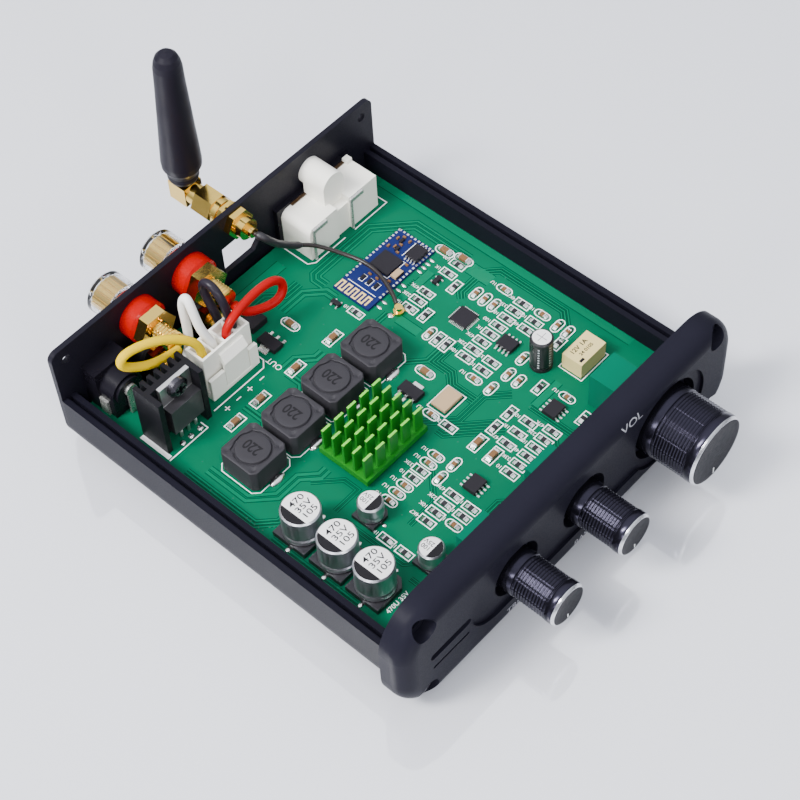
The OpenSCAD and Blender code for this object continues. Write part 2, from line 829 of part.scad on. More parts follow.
red_route = [[-20.7, 35.15, 25.2], [-20.8, 35.1, 28], [-20.2, 35, 29.8], [-18.6, 35, 31.2],
    [-15.8, 35.4, 31.9], [-12.1, 36.2, 31.5], [-7.7, 37, 30.8], [-3.7, 37.4, 30],
    [-0.2, 37.4, 28.6], [1.7, 37, 26.3], [1.2, 36.4, 24.1], [-0.9, 36.2, 22.7],
    [-4, 37, 22], [-7.6, 38.3, 22.4], [-9.9, 39.4, 23.3], [-11.2, 40.4, 25],
    [-12, 40.95, 26.8]];
black_route = [[-16.6, 37.4, 25.2], [-16.9, 37.5, 28], [-17.3, 37.8, 31],
    [-17.4, 38.6, 34.4], [-17.4, 40.4, 37.1], [-17.4, 42.5, 38.4], [-17.5, 44.6, 38],
    [-17.6, 45.6, 36.2], [-17.7, 45, 33.4], [-17.6, 43.6, 30], [-17.2, 42.6, 26],
    [-16.2, 43, 20.9], [-15.15, 43.3, 18.5], [-14.25, 43.3, 16.95]];
up = [0, 0, 1];

module wire_yellow() {
    color("gold") lead(yellow_route, wire_r, up, [0.98, 0, -0.2]);
}

module wire_white() {
    color("white") lead(white_route, wire_r, up, [-0.5, 0, -0.87]);
}

module wire_red() {
    color("red") lead(red_route, wire_r, up, [-0.4, 0.2, 0.9]);
}

module wire_black() {
    color("black") lead(black_route, wire_r, up, [0.5, 0, -0.87]);
}

// The aerial lead runs from its socket down to the small plug on the radio module
coax_r = 0.6;
coax_route = [[5.8, 50.3, 32.8], [6.4, 48, 32.6], [8, 46.9, 30.4], [10.4, 46.7, 27.3],
    [13.2, 46.6, 24.4], [16, 46.2, 22], [18.8, 45, 20.6], [22.3, 42.4, 18.5],
    [25.3, 38.1, 16.5], [27.2, 32.5, 15.7], [27.2, 27, 15.6], [25.6, 21.5, 15.5],
    [23.9, 17.6, 15.2], [22.7, 15.6, 14.8]];

module coax_cable() {
    color("dimgray") lead(coax_route, coax_r, [0, -1, 0], [-0.5, -0.8, -0.2]);
}

coax_plug_at = [22.1, 14.2];

module coax_plug() {
    color("gold") {
        rod_z(coax_plug_at[0], coax_plug_at[1], board_top, board_top + 1.1, 1.5);
        rod_z(coax_plug_at[0], coax_plug_at[1], board_top + 1, board_top + 2.6, 1.1);
    }
}

radio_low = [17, 20.8];
radio_high = [44.4, 33.8];
radio_t = 0.8;

module radio_module() {
    color("royalblue") bar([radio_low[0], radio_low[1], board_top],
        [radio_high[0], radio_high[1], board_top + radio_t]);
}

// Boxes that lie flat: [middle x, middle y, width, depth, height]
module flat_boxes(list, z) {
    for (b = list) translate([b[0] - b[2] / 2, b[1] - b[3] / 2, z])
        cube([b[2], b[3], b[4]]);
}

module radio_parts() {
    color("dimgray") flat_boxes([[32.2, 27.9, 6.6, 6.6, 0.9], [40, 23.6, 5, 4, 1.4],
        [31.2, 22.6, 3.2, 1.5, 0.9], [24.5, 24.5, 1.6, 0.8, 0.7], [24.5, 27, 1.6, 0.8, 0.7],
        [24.5, 29.5, 1.6, 0.8, 0.7], [38, 29, 1.6, 0.8, 0.7], [41, 30, 1.6, 0.8, 0.7]],
        board_top + radio_t);
}

// The black heatsink is a channel that opens to the front, with ribs on its back
u_sink_w = 15.8;
u_sink_x = -half_w + 16.9;
u_sink_front = half_l - 29;
u_sink_web = half_l - 24.3;
u_web_t = 1.8;
u_wall = 1.6;
rib_l = 3;
rib_count = 7;

module regulator_heatsink() {
    left = u_sink_x - u_sink_w / 2;
    right = u_sink_x + u_sink_w / 2;
    back = u_sink_web + u_web_t;
    top = board_top + u_sink_h;
    rib_t = 1.2;
    step = (u_sink_w - rib_t) / (rib_count - 1);
    color("black") difference() {
        union() {
            bar([left, u_sink_web, board_top], [right, back, top]);
            for (x = [left, right - u_wall])
                bar([x, u_sink_front, board_top], [x + u_wall, u_sink_web + 0.1, top]);
            for (i = [0:rib_count - 1])
                bar([left + i * step, back - 0.1, board_top],
                    [left + i * step + rib_t, back + rib_l, top]);
        }
        rod_y(tab_x, tab_hole_z, u_sink_web - through, back + through,
            tab_screw_r + fit_gap);
    }
}

tab_x = u_sink_x + 1;
tab_hole_z = board_top + 17.4;
tab_screw_r = 1.5;
tab_t = 1.3;
tab_w = 10.4;

module regulator() {
    body_low = board_top + 4.2;
    body_high = body_low + 9;
    tab_high = body_low + 15.7;
    body_front = u_sink_web - 4.4;
    lead_w = 0.8;
    lead_pitch = 2.54;
    color("dimgray") difference() {
        union() {
            bar([tab_x - tab_w / 2, u_sink_web - tab_t, body_low],
                [tab_x + tab_w / 2, u_sink_web, tab_high]);
            bar([tab_x - tab_w / 2, body_front, body_low],
                [tab_x + tab_w / 2, u_sink_web - tab_t + 0.1, body_high]);
            for (i = [-1:1])
                bar([tab_x + i * lead_pitch - lead_w / 2, body_front + 1, board_top],
                    [tab_x + i * lead_pitch + lead_w / 2, body_front + 1.5,
                        body_low + 0.1]);
        }
        rod_y(tab_x, tab_hole_z, u_sink_web - tab_t - through, u_sink_web + through,
            tab_screw_r + fit_gap);
    }
}

module regulator_screw() {
    head = 3;
    head_l = 2;
    seat = u_sink_web - tab_t;
    slot_w = 0.8;
    slot_in = 1;
    color("silver") difference() {
        union() {
            rod_y(tab_x, tab_hole_z, seat, u_sink_web + u_web_t, tab_screw_r);
            turned_y(tab_x, tab_hole_z, seat - head_l, [[0, 0], [0, head - 1],
                [0.7, head], [head_l, head], [head_l, 0]]);
        }
        for (s = [[head, slot_w], [slot_w, head]])
            bar([tab_x - s[0] / 2, seat - head_l - through, tab_hole_z - s[1] / 2],
                [tab_x + s[0] / 2, seat - head_l + slot_in, tab_hole_z + s[1] / 2]);
    }
}

// The white output connector: a header on the board and a plug standing in it
header_x = -22.9;
header_w = 17;
header_front = 31.2;
header_back = 40.2;
header_floor = 2.4;
header_wall = 1.1;
header_h = 8;
plug_front = 33.1;
plug_back = 39.5;
plug_top = board_top + 15.4;
latch_x = -21.8;
latch_w = 8.4;

module output_header() {
    left = header_x - header_w / 2;
    right = header_x + header_w / 2;
    slot = latch_w / 2 + free_gap;
    slot_z = 1.2;
    color("white") difference() {
        bar([left, header_front, board_top], [right, header_back, board_top + header_h]);
        bar([left - through, header_front + header_wall, board_top + header_floor],
            [right + through, plug_back + fit_gap, board_top + header_h + through]);
        bar([latch_x - slot, header_front - through, board_top + slot_z],
            [latch_x + slot, header_front + header_wall + 0.1,
                board_top + header_h + through]);
    }
}

// The plug has four open pockets for the leads and a latch arm at its front
module output_plug() {
    wall = 0.7;
    pockets = 4;
    pocket_deep = 3;
    pocket_w = (header_w - (pockets + 1) * wall) / pockets;
    left = header_x - header_w / 2;
    latch_top = plug_top - 2;
    arm_foot = board_top + 1.4;
    arm_y0 = header_front + 0.2;
    arm_y1 = header_front + 1;
    color("white") {
        difference() {
            bar([left, plug_front, board_top + header_floor],
                [left + header_w, plug_back, plug_top]);
            for (i = [0:pockets - 1])
                bar([left + wall + i * (pocket_w + wall), plug_front + wall,
                        plug_top - pocket_deep],
                    [left + (i + 1) * (pocket_w + wall), plug_back - wall,
                        plug_top + through]);
        }
        translate([latch_x - latch_w / 2, 0, 0]) rotate([90, 0, 90])
            linear_extrude(latch_w) polygon([[arm_y0, arm_foot], [arm_y1, arm_foot],
                [arm_y1, latch_top - 3.4], [plug_front + 0.1, latch_top - 3.4],
                [plug_front + 0.1, latch_top], [header_front + 1.2, latch_top],
                [header_front - 0.3, latch_top - 2.6], [arm_y0, latch_top - 3]]);
    }
}

// The green heatsink lies on the amplifier chip and has a grid of upright fins
sink_x = -14.4;
sink_y = -9.9;
sink_base_t = 2;
amp_chip_h = 1.2;
sink_rows = 5;

module green_heatsink() {
    base_z = board_top + amp_chip_h;
    fin_l = 3;
    fin_t = 0.7;
    step_x = (sink_w - fin_l - 1) / (sink_rows - 1);
    step_y = (sink_l - fin_t - 2) / (sink_rows - 1);
    color("limegreen") {
        translate([sink_x - sink_w / 2, sink_y - sink_l / 2, base_z])
            cube([sink_w, sink_l, sink_base_t]);
        for (i = [0:sink_rows - 1], j = [0:sink_rows - 1])
            translate([sink_x + (i - 2) * step_x - fin_l / 2,
                    sink_y + (j - 2) * step_y - fin_t / 2, base_z])
                cube([fin_l, fin_t, sink_top - amp_chip_h]);
    }
}

// A chip with legs along its front and back, or with one wide tab at its back
module legged_chip(x, y, turn, w, l, h, legs, pitch, leg_w, reach, tab_w = 0) {
    leg_h = 0.3;
    leg_l = tab_w > 0 ? reach + 0.1 : l + 2 * reach;
    translate([x, y, board_top]) rotate([0, 0, turn]) {
        translate([-w / 2, -l / 2, 0.1]) cube([w, l, h - 0.1]);
        for (i = [0:legs - 1])
            translate([(i - (legs - 1) / 2) * pitch - leg_w / 2, -l / 2 - reach, 0])
                cube([leg_w, leg_l, leg_h]);
        if (tab_w > 0)
            translate([-tab_w / 2, l / 2 - 0.1, 0]) cube([tab_w, reach + 0.1, leg_h]);
    }
}

module board_chips() {
    color("dimgray") {
        translate([sink_x - 7, sink_y - 3.1, board_top]) cube([14, 6.1, amp_chip_h]);
        for (c = [[32.3, -15.6, 90], [23.4, -38.6, 0], [-7.6, -38.2, 0]])
            legged_chip(c[0], c[1], c[2], 4.9, 3.9, 1.5, 4, 1.27, 0.4, 1.1);
        flat_boxes([[31.8, -0.6, 5.5, 5.5, 0.9], [-6, 41.5, 5.6, 4.6, 2.2]], board_top);
        for (c = [[-8.3, 33.2, 90], [3.9, -6.4, -90]])
            legged_chip(c[0], c[1], c[2], 6.5, 3.5, 1.6, 3, 2.3, 0.7, 1.7, 3);
        for (c = [[37, 13.5, 0], [13.3, 29.2, -90]])
            legged_chip(c[0], c[1], c[2], 2.9, 1.3, 1.1, 2, 1.9, 0.4, 0.6);
    }
}

coil_x = [5.5, -9.5, -24.3, -38.9];
coil_y = 8.7;

module inductors() {
    cut = 1.3;
    lip = 0.8;
    core_r = coil_w / 2 - 1.05;
    s = coil_w / 2;
    color("dimgray") for (x = coil_x) translate([x, coil_y, board_top]) {
        difference() {
            linear_extrude(coil_h - lip / 2)
                polygon([[-s, -s + cut], [-s + cut, -s], [s - cut, -s], [s, -s + cut],
                    [s, s - cut], [s - cut, s], [-s + cut, s], [-s, s - cut]]);
            translate([0, 0, coil_h - 2 * lip]) cylinder(h = 2 * lip, r = core_r);
        }
        cylinder(h = coil_h, r = core_r - 0.5);
    }
}

// A surface-mounted can on its square base
module can(x, y, d, h, base_w, base_h) {
    pinch = d * 0.03;
    edge = 0.4;
    s = base_w / 2;
    cut = base_w * 0.18;
    translate([x, y, board_top]) {
        linear_extrude(base_h)
            polygon([[-s, -s], [s - cut, -s], [s, -s + cut], [s, s - cut], [s - cut, s],
                [-s, s]]);
        rotate_extrude() polygon([[0, 0], [d / 2 - pinch, 0], [d / 2 - pinch, base_h],
            [d / 2, base_h + edge], [d / 2, base_h + 1.5], [d / 2 - pinch, base_h + 2],
            [d / 2, base_h + 2.5], [d / 2, h - edge], [d / 2 - edge, h], [0, h]]);
    }
}

large_can_spots = [[-45.9, -14.9], [-45.9, -27.2], [-45.9, -39.4]];
small_can_spots = [[-31.2, -24.4], [-31.6, -45]];

module large_capacitors() {
    color("silver") for (p = large_can_spots) can(p[0], p[1], can_d, can_h, can_d + 0.3, 1.8);
}

module small_capacitors() {
    small_d = 6.8;
    small_h = 7;
    color("silver") for (p = small_can_spots)
        can(p[0], p[1], small_d, small_h, small_d + 0.2, 1.3);
}

module radial_capacitor() {
    d = 6.3;
    h = 11.5;
    color("black") translate([33.2, -26.3, board_top]) rotate_extrude()
        polygon([[0, 0], [d / 2, 0], [d / 2, 1], [d / 2 - 0.2, 1.4], [d / 2, 1.8],
            [d / 2, h - 0.4], [d / 2 - 0.4, h], [0, h]]);
}

module relay() {
    color("ivory") flat_boxes([[41.3, -34.1, 10.2, 6.5, 5.4]], board_top);
}

// Rows of small chip parts: [first x, first y, step along X, step along Y, count]
chips_along_y = [[22, -9.5, 3.4, 0, 8], [25, 13, 3.5, 0, 3], [41, 13, 4, 0, 2],
    [18, -16, 3.6, 0, 3], [39.5, -16, 3.4, 0, 3], [46.5, -2.5, 0, 0, 1],
    [2, -15, 0, -6, 2], [7.5, -36, 4.4, 0, 3], [29, -38.5, 0, 0, 1],
    [1, -42.5, 3.4, 0, 6], [-20, -42, 3.3, 0, 3], [-25, -24.7, 3, 0, 7],
    [-23.5, -36, 3.4, 0, 4], [-34, -32, 0, -6, 2], [14.5, 23, 0, 0, 1]];
chips_along_x = [[38.5, 8.5, 0, 0, 1], [26, 8, 0, 0, 1], [22, 3, 0, -3, 3],
    [40.5, 2.5, 0, -3.2, 3], [25, -22, 0, -3.5, 2], [46, -21.5, 0, -3.5, 2],
    [18.5, -21.5, 0, 0, 1], [31.5, -21.5, 0, 0, 1], [27, -31, 0, 0, 1],
    [41.5, -25.5, 0, 0, 1], [9.5, -30.3, 6, 0, 2], [26.5, -46, 0, 0, 1],
    [-11.5, -30, 5.5, 0, 2]];
caps_along_y = [[46.5, 19, 1, -6, 2], [11.4, -4.7, 0, 0, 1], [0.2, 33.9, 0, 0, 1]];
caps_along_x = [[3, -30.2, -0.5, -5.5, 2], [4.1, 21.8, 0, 0, 1], [-9.8, 22.4, -13.4, 0, 2],
    [-32.7, 22.2, 0, 0, 1]];

module chip_rows(rows, w, l, h) {
    for (r = rows, i = [0:r[4] - 1])
        translate([r[0] + i * r[2] - w / 2, r[1] + i * r[3] - l / 2, board_top])
            cube([w, l, h]);
}

// Small chips, larger chip capacitors and the beige resonator
module chip_parts() {
    chip = [2, 1.25, 0.7];
    cap = [3.2, 1.6, 1.2];
    resonator = [7.9, -15.3, 7.2, 5, 1.4];
    color("tan") {
        chip_rows(chips_along_y, chip[1], chip[0], chip[2]);
        chip_rows(chips_along_x, chip[0], chip[1], chip[2]);
        chip_rows(caps_along_y, cap[1], cap[0], cap[2]);
        chip_rows(caps_along_x, cap[0], cap[1], cap[2]);
        flat_boxes([resonator], board_top);
    }
}

lower_shell();
front_panel();
back_panel();
case_screws();
rubber_feet();
main_board();
volume_pot();
bass_pot();
treble_pot();
volume_shaft();
bass_shaft();
treble_shaft();
volume_knob();
bass_knob();
treble_knob();
power_jack();
jack_contacts();
rca_housing();
rca_faceplate();
rca_barrels();
rca_contacts();
rca_screw();
red_collars();
black_collars();
post_nuts();
post_studs();
post_sleeve_1();
post_sleeve_2();
post_sleeve_3();
post_sleeve_4();
post_cap_1();
post_cap_2();
post_cap_3();
post_cap_4();
sma_jack();
sma_nut();
antenna_nut();
antenna_elbow();
antenna_whip();
coax_cable();
coax_plug();
radio_module();
radio_parts();
regulator_heatsink();
regulator();
regulator_screw();
output_header();
output_plug();
wire_yellow();
wire_white();
wire_red();
wire_black();
green_heatsink();
board_chips();
inductors();
large_capacitors();
small_capacitors();
radial_capacitor();
relay();
chip_parts();
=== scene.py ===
# %% [markdown]
# # A small digital amplifier with its cover off
# The object is a black aluminium tray with a green circuit board in it, a thick
# front panel with three knobs, and a back plate with terminals, sockets and an aerial.
# The solid model already has every main shape. This file gives those shapes their
# surfaces, and adds what is too fine for a solid model: solder, printed marks,
# copper tracks, lettering, knurling and the smooth run of each lead.
# Blender counts in metres, and the helper `mm` turns a size in millimetres into one.
# Most pieces that sit on a solid take their height from that solid's box.

# %% Open the solid model
import math

import bmesh
import bpy
import numpy as np
from mathutils import Matrix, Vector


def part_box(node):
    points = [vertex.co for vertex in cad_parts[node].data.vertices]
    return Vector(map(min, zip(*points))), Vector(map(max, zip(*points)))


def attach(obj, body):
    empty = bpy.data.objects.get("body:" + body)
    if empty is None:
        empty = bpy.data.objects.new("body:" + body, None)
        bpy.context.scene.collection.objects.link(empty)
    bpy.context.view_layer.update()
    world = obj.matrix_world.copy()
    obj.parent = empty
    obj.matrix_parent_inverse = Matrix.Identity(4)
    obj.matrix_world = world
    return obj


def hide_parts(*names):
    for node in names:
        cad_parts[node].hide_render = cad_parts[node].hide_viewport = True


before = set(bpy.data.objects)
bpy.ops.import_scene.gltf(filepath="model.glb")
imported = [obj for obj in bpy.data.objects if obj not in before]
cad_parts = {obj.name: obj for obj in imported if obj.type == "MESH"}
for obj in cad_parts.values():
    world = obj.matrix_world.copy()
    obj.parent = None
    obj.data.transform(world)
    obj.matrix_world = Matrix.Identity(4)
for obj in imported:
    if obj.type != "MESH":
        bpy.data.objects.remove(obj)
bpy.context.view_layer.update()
BODY = "amplifier"


def mm(values):
    """Millimetres to metres, for a number, a list or an array."""
    return np.asarray(values, float) * 0.001


def box_mm(node):
    """A solid's lowest and highest corner in millimetres, rounded to a micrometre."""
    return np.round(np.array(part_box(node), float) * 1000, 3)


# %% [markdown]
# ## The camera
# The picture looks down from the front left corner with a long lens, so parallel
# edges stay nearly parallel. The camera is placed from three directions that were
# worked out from the case's corners: its right, its up and its back. A rotation
# matrix with these as columns turns a camera that looks along -Z into that view.

# %% Place the camera
LENS = 88.72
camera_at = (-0.21724, -0.22313, 0.42580)
camera_right = (0.66691, -0.74404, -0.04032)
camera_up = (0.61381, 0.51789, 0.59584)
camera_back = (-0.42245, -0.42212, 0.80209)

camera_data = bpy.data.cameras.new("studio_camera")
camera_data.sensor_width = 36
camera_data.lens = LENS
camera_data.clip_start = 0.01
camera = bpy.data.objects.new("studio_camera", camera_data)
bpy.context.scene.collection.objects.link(camera)
turn = Matrix((camera_right, camera_up, camera_back)).transposed().to_4x4()
camera.matrix_world = Matrix.Translation(camera_at) @ turn
bpy.context.scene.camera = camera
print("camera", camera_at)

# %% [markdown]
# ## Light and floor
# The photograph was made on a pale, slightly glossy sheet under a large soft
# light. A big lamp high behind the object gives the bright band along the front
# panel's top edge, a second one from the left and a third from the front lift the
# walls that face the camera, and a pale world that is brighter overhead fills the
# shadows. The floor is one flat sheet with a thin gloss, so that it mirrors the
# case a little. A finish is a tree of nodes, and these helpers each add one step
# to a tree, so that every finish below reads as a short recipe.

# %% Helpers for node trees
def new_finish(name):
    """A new material, its empty node tree and the principled shader in it."""
    material = bpy.data.materials.new(name)
    material.use_nodes = True
    tree = material.node_tree
    tree.nodes.clear()
    out = tree.nodes.new("ShaderNodeOutputMaterial")
    shader = tree.nodes.new("ShaderNodeBsdfPrincipled")
    tree.links.new(shader.outputs["BSDF"], out.inputs["Surface"])
    return material, tree, shader


def mathematics(tree, kind, *values):
    """One Math node; each value is a socket or a number."""
    node = tree.nodes.new("ShaderNodeMath")
    node.operation = kind
    for place, value in enumerate(values):
        if isinstance(value, (int, float)):
            node.inputs[place].default_value = value
        else:
            tree.links.new(value, node.inputs[place])
    return node.outputs[0]


def distance(tree, a, b):
    """The root of a times a plus b times b."""
    squares = [mathematics(tree, "MULTIPLY", value, value) for value in (a, b)]
    return mathematics(tree, "SQRT", mathematics(tree, "ADD", *squares))


def place_of(tree, scale=(1, 1, 1)):
    """The point's place on the object, scaled by a Mapping node."""
    where = tree.nodes.new("ShaderNodeTexCoord")
    mapping = tree.nodes.new("ShaderNodeMapping")
    mapping.inputs["Scale"].default_value = scale
    tree.links.new(where.outputs["Object"], mapping.inputs["Vector"])
    return mapping.outputs[0]


def axes_of(tree, vector):
    """The three numbers of a vector, as outputs named X, Y and Z."""
    parts = tree.nodes.new("ShaderNodeSeparateXYZ")
    tree.links.new(vector, parts.inputs[0])
    return parts.outputs


def mottle(tree, vector, scale, detail=2.0):
    """Soft noise from 0 to 1 at that many spots a metre."""
    noise = tree.nodes.new("ShaderNodeTexNoise")
    noise.inputs["Scale"].default_value = scale
    noise.inputs["Detail"].default_value = detail
    tree.links.new(vector, noise.inputs["Vector"])
    return noise.outputs["Fac"]


def between(tree, factor, low, high, start=0.3, end=0.7, course="LINEAR"):
    """A number that goes from low to high as factor goes from start to end."""
    node = tree.nodes.new("ShaderNodeMapRange")
    node.interpolation_type = course
    node.inputs["From Min"].default_value = start
    node.inputs["From Max"].default_value = end
    node.inputs["To Min"].default_value = low
    node.inputs["To Max"].default_value = high
    tree.links.new(factor, node.inputs["Value"])
    return node.outputs["Result"]


def blend_of(tree, factor, first, second):
    """A colour mixed from two; each is a socket or three numbers."""
    node = tree.nodes.new("ShaderNodeMix")
    node.data_type = "RGBA"
    tree.links.new(factor, node.inputs[0])
    for place, value in ((6, first), (7, second)):
        if isinstance(value, (tuple, list)):
            node.inputs[place].default_value = (*value, 1)
        else:
            tree.links.new(value, node.inputs[place])
    return node.outputs[2]


def relief(tree, shader, height, depth, strength):
    """Bends the shader's normal by a height that is worth depth metres at 1."""
    bump = tree.nodes.new("ShaderNodeBump")
    bump.inputs["Strength"].default_value = strength
    bump.inputs["Distance"].default_value = depth
    tree.links.new(height, bump.inputs["Height"])
    tree.links.new(bump.outputs[0], shader.inputs["Normal"])


# %% The floor sheet
def floor_finish():
    """Pale cool white, a little darker in wide soft clouds, under a thin gloss."""
    material, tree, shader = new_finish("floor_sheet")
    clouds = mottle(tree, place_of(tree), 3.0, 1.0)
    tree.links.new(blend_of(tree, clouds, (0.73, 0.735, 0.79), (0.77, 0.775, 0.825)),
                   shader.inputs["Base Color"])
    tree.links.new(between(tree, mottle(tree, place_of(tree), 500.0), 0.05, 0.08),
                   shader.inputs["Roughness"])
    shader.inputs["Coat Weight"].default_value = 1.0
    shader.inputs["Coat Roughness"].default_value = 0.03
    shader.inputs["Coat IOR"].default_value = 2.3
    return material


def flat_sheet(name, half, z):
    """A square in the plane z, from -half to half both ways."""
    corners = [(-half, -half, z), (half, -half, z), (half, half, z), (-half, half, z)]
    mesh = bpy.data.meshes.new(name)
    mesh.from_pydata(corners, [], [(0, 1, 2, 3)])
    sheet = bpy.data.objects.new(name, mesh)
    bpy.context.scene.collection.objects.link(sheet)
    return sheet


FLOOR_HALF = 3.0
floor = flat_sheet("floor_sheet", FLOOR_HALF, 0.0)
floor.data.materials.append(floor_finish())
print("floor", 2 * FLOOR_HALF, "m square")

# %% [markdown]
# The three lamps are round and their light isn't even: it is strongest at the left
# rim and fades out across the lamp, so a glossy face mirrors it as a soft gradient.

# %% Lamps
LAMP_TARGET = (0, 0, 0.02)
FADE_START, FADE_END = 0.10, 0.50
BRIGHTEST = 2.9


def soft_lamp(name, at, size, watts, colour=(1, 1, 1)):
    """A round area lamp that faces the object and fades out from its left rim.

    A lamp's parametric coordinates X and Y run from 0 to 1 across it. The light fades
    with the distance of Y and of X + Y from one half, so it is brightest where X is 0
    and Y is one half, and it is out before the right rim.
    """
    data = bpy.data.lights.new(name, "AREA")
    data.shape = "DISK"
    data.size = size
    data.energy = watts
    data.color = colour
    data.use_nodes = True
    tree = data.node_tree
    where = tree.nodes.new("ShaderNodeNewGeometry").outputs["Parametric"]
    parts = axes_of(tree, where)
    both = mathematics(tree, "ADD", parts["X"], parts["Y"])
    away = distance(tree, mathematics(tree, "SUBTRACT", parts["Y"], 0.5),
                    mathematics(tree, "SUBTRACT", both, 0.5))
    fade = between(tree, away, BRIGHTEST, 0.0, FADE_START, FADE_END, "SMOOTHSTEP")
    tree.links.new(fade, tree.nodes["Emission"].inputs["Strength"])
    lamp = bpy.data.objects.new(name, data)
    back = np.array(at, float) - np.array(LAMP_TARGET, float)
    back /= np.linalg.norm(back)
    side = np.cross((0, 1, 0.01), back)
    side /= np.linalg.norm(side)
    up = np.cross(back, side)
    lamp.matrix_world = Matrix([[side[i], up[i], back[i], at[i]] for i in range(3)]
                               + [[0, 0, 0, 1]])
    bpy.context.scene.collection.objects.link(lamp)


soft_lamp("key_lamp", (-0.56, 0.42, 1.22), 1.0, 66.0)
soft_lamp("left_lamp", (-1.1, -0.3, 0.8), 0.7, 10.5, (0.97, 0.98, 1))
soft_lamp("front_lamp", (-0.35, -1.2, 0.9), 0.6, 13.5)
print("lamps", len(bpy.data.lights))

# %% The pale room
HORIZON, ZENITH = 0.36, 1.90
world = bpy.data.worlds.new("pale_room")
bpy.context.scene.world = world
world.use_nodes = True
room = world.node_tree
background = room.nodes["Background"]
background.inputs["Color"].default_value = (0.88, 0.92, 1.0, 1)
heading = room.nodes.new("ShaderNodeTexCoord").outputs["Generated"]
room.links.new(between(room, axes_of(room, heading)["Z"], HORIZON, ZENITH, 0.0, 1.0),
               background.inputs["Strength"])
print("room strength", HORIZON, "to", ZENITH)

# %% [markdown]
# ## Leads
# Four soft leads come out of the white plug and curl round to the speaker
# terminals, and a thin aerial lead drops from its socket to a small round plug
# beside the blue radio board. A lead keeps its thickness and bends in one smooth
# line, so each is a circle carried along a smooth curve. The curve passes through
# the same points as in the solid model. A spline with the square root of each
# step as its parameter doesn't overshoot where the points are close together.

# %% Helpers for meshes
def new_piece(name, points, faces, material, body=BODY, smooth=True):
    """A mesh object at the origin that rides on a body, from points in metres."""
    mesh = bpy.data.meshes.new(name)
    mesh.from_pydata(np.asarray(points, float).reshape(-1, 3).tolist(), [],
                     np.asarray(faces).tolist() if isinstance(faces, np.ndarray) else faces)
    mesh.polygons.foreach_set("use_smooth", np.full(len(mesh.polygons), smooth))
    mesh.materials.append(material)
    mesh.update()
    piece = bpy.data.objects.new(name, mesh)
    bpy.context.scene.collection.objects.link(piece)
    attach(piece, body)
    return piece


def ring_faces(rings, sides, start=0):
    """Quads between neighbouring rings of points, closed all the way round."""
    a, b = np.meshgrid(np.arange(rings - 1), np.arange(sides), indexing="ij")
    low, high, after = a * sides, (a + 1) * sides, (b + 1) % sides
    return np.stack([low + b, low + after, high + after, high + b], -1).reshape(-1, 4) + start


def smooth_line(points, steps=8):
    """Points on the natural cubic spline through the given ones.

    The second derivatives m solve a three-banded set of equations, one for each
    point, and each stretch is the cubic that has them at its two ends.
    """
    p = np.asarray(points, float)
    t = np.concatenate([[0], np.cumsum(np.linalg.norm(np.diff(p, axis=0), axis=1) ** 0.5)])
    h, n = np.diff(t), len(p)
    bands = np.eye(n)
    right = np.zeros((n, 3))
    i = np.arange(1, n - 1)
    bands[i, i - 1], bands[i, i], bands[i, i + 1] = h[:-1], 2 * (h[:-1] + h[1:]), h[1:]
    slope = np.diff(p, axis=0) / h[:, None]
    right[1:-1] = 6 * (slope[1:] - slope[:-1])
    m = np.linalg.solve(bands, right)
    u = np.linspace(0, t[-1], steps * (n - 1) + 1)
    k = np.clip(np.searchsorted(t, u, "right") - 1, 0, n - 2)
    a, b, w = (t[k + 1] - u)[:, None], (u - t[k])[:, None], h[k][:, None]
    return (m[k] * a ** 3 + m[k + 1] * b ** 3) / (6 * w) + (p[k] / w - m[k] * w / 6) * a \
        + (p[k + 1] / w - m[k + 1] * w / 6) * b


LEAD_SIDES = 16


def tube_points(line, radius):
    """A circle of that radius carried along the line without twisting.

    Each ring's side direction is the last one with its part along the new
    heading taken away. The result is rings by sides by 3.
    """
    line = np.asarray(line, float)
    heading = np.gradient(line, axis=0)
    heading /= np.linalg.norm(heading, axis=1)[:, None]
    side = np.empty_like(line)
    last = np.array([0.3, 0.5, 0.81])
    for i, way in enumerate(heading):
        last = last - (last @ way) * way
        last = last / np.linalg.norm(last)
        side[i] = last
    other = np.cross(heading, side)
    turn = np.linspace(0, 2 * np.pi, LEAD_SIDES, endpoint=False)[None, :, None]
    ring = np.cos(turn) * side[:, None] + np.sin(turn) * other[:, None]
    return line[:, None] + ring * np.broadcast_to(radius, len(line))[:, None, None]


def tube(name, line, radius, material):
    """A round tube along a line, closed at both ends."""
    last = (len(line) - 1) * LEAD_SIDES
    caps = [list(range(LEAD_SIDES))[::-1], list(range(last, last + LEAD_SIDES))]
    return new_piece(name, tube_points(line, radius),
                     ring_faces(len(line), LEAD_SIDES).tolist() + caps, material)


# %% [markdown]
# ### What the leads are covered with
# The leads have soft silicone or PVC covers. Such a cover is one colour, slightly
# glossy, with a faint orange-peel surface and small smudges. A fine noise moves
# the roughness, a coarser one shifts the shade. How much of the room a cover
# mirrors is its shine, which is 0.5 for plain plastic.

# %% Plastic and rubber finishes
PATCHES_A_METRE = 160.0


def moulded(name, colour, rough=0.35, shade=0.82, grain=700.0, depth=0.00001, shine=0.5):
    """Moulded or extruded plastic: two near shades, uneven gloss, a faint skin."""
    material, tree, shader = new_finish(name)
    where = place_of(tree)
    coarse = mottle(tree, where, PATCHES_A_METRE, 3.0)
    dark = tuple(c * shade for c in colour)
    tree.links.new(blend_of(tree, coarse, dark, colour), shader.inputs["Base Color"])
    tree.links.new(between(tree, coarse, rough - 0.06, rough + 0.06), shader.inputs["Roughness"])
    relief(tree, shader, mottle(tree, where, grain), depth, 0.5)
    shader.inputs["Specular IOR Level"].default_value = shine
    return material


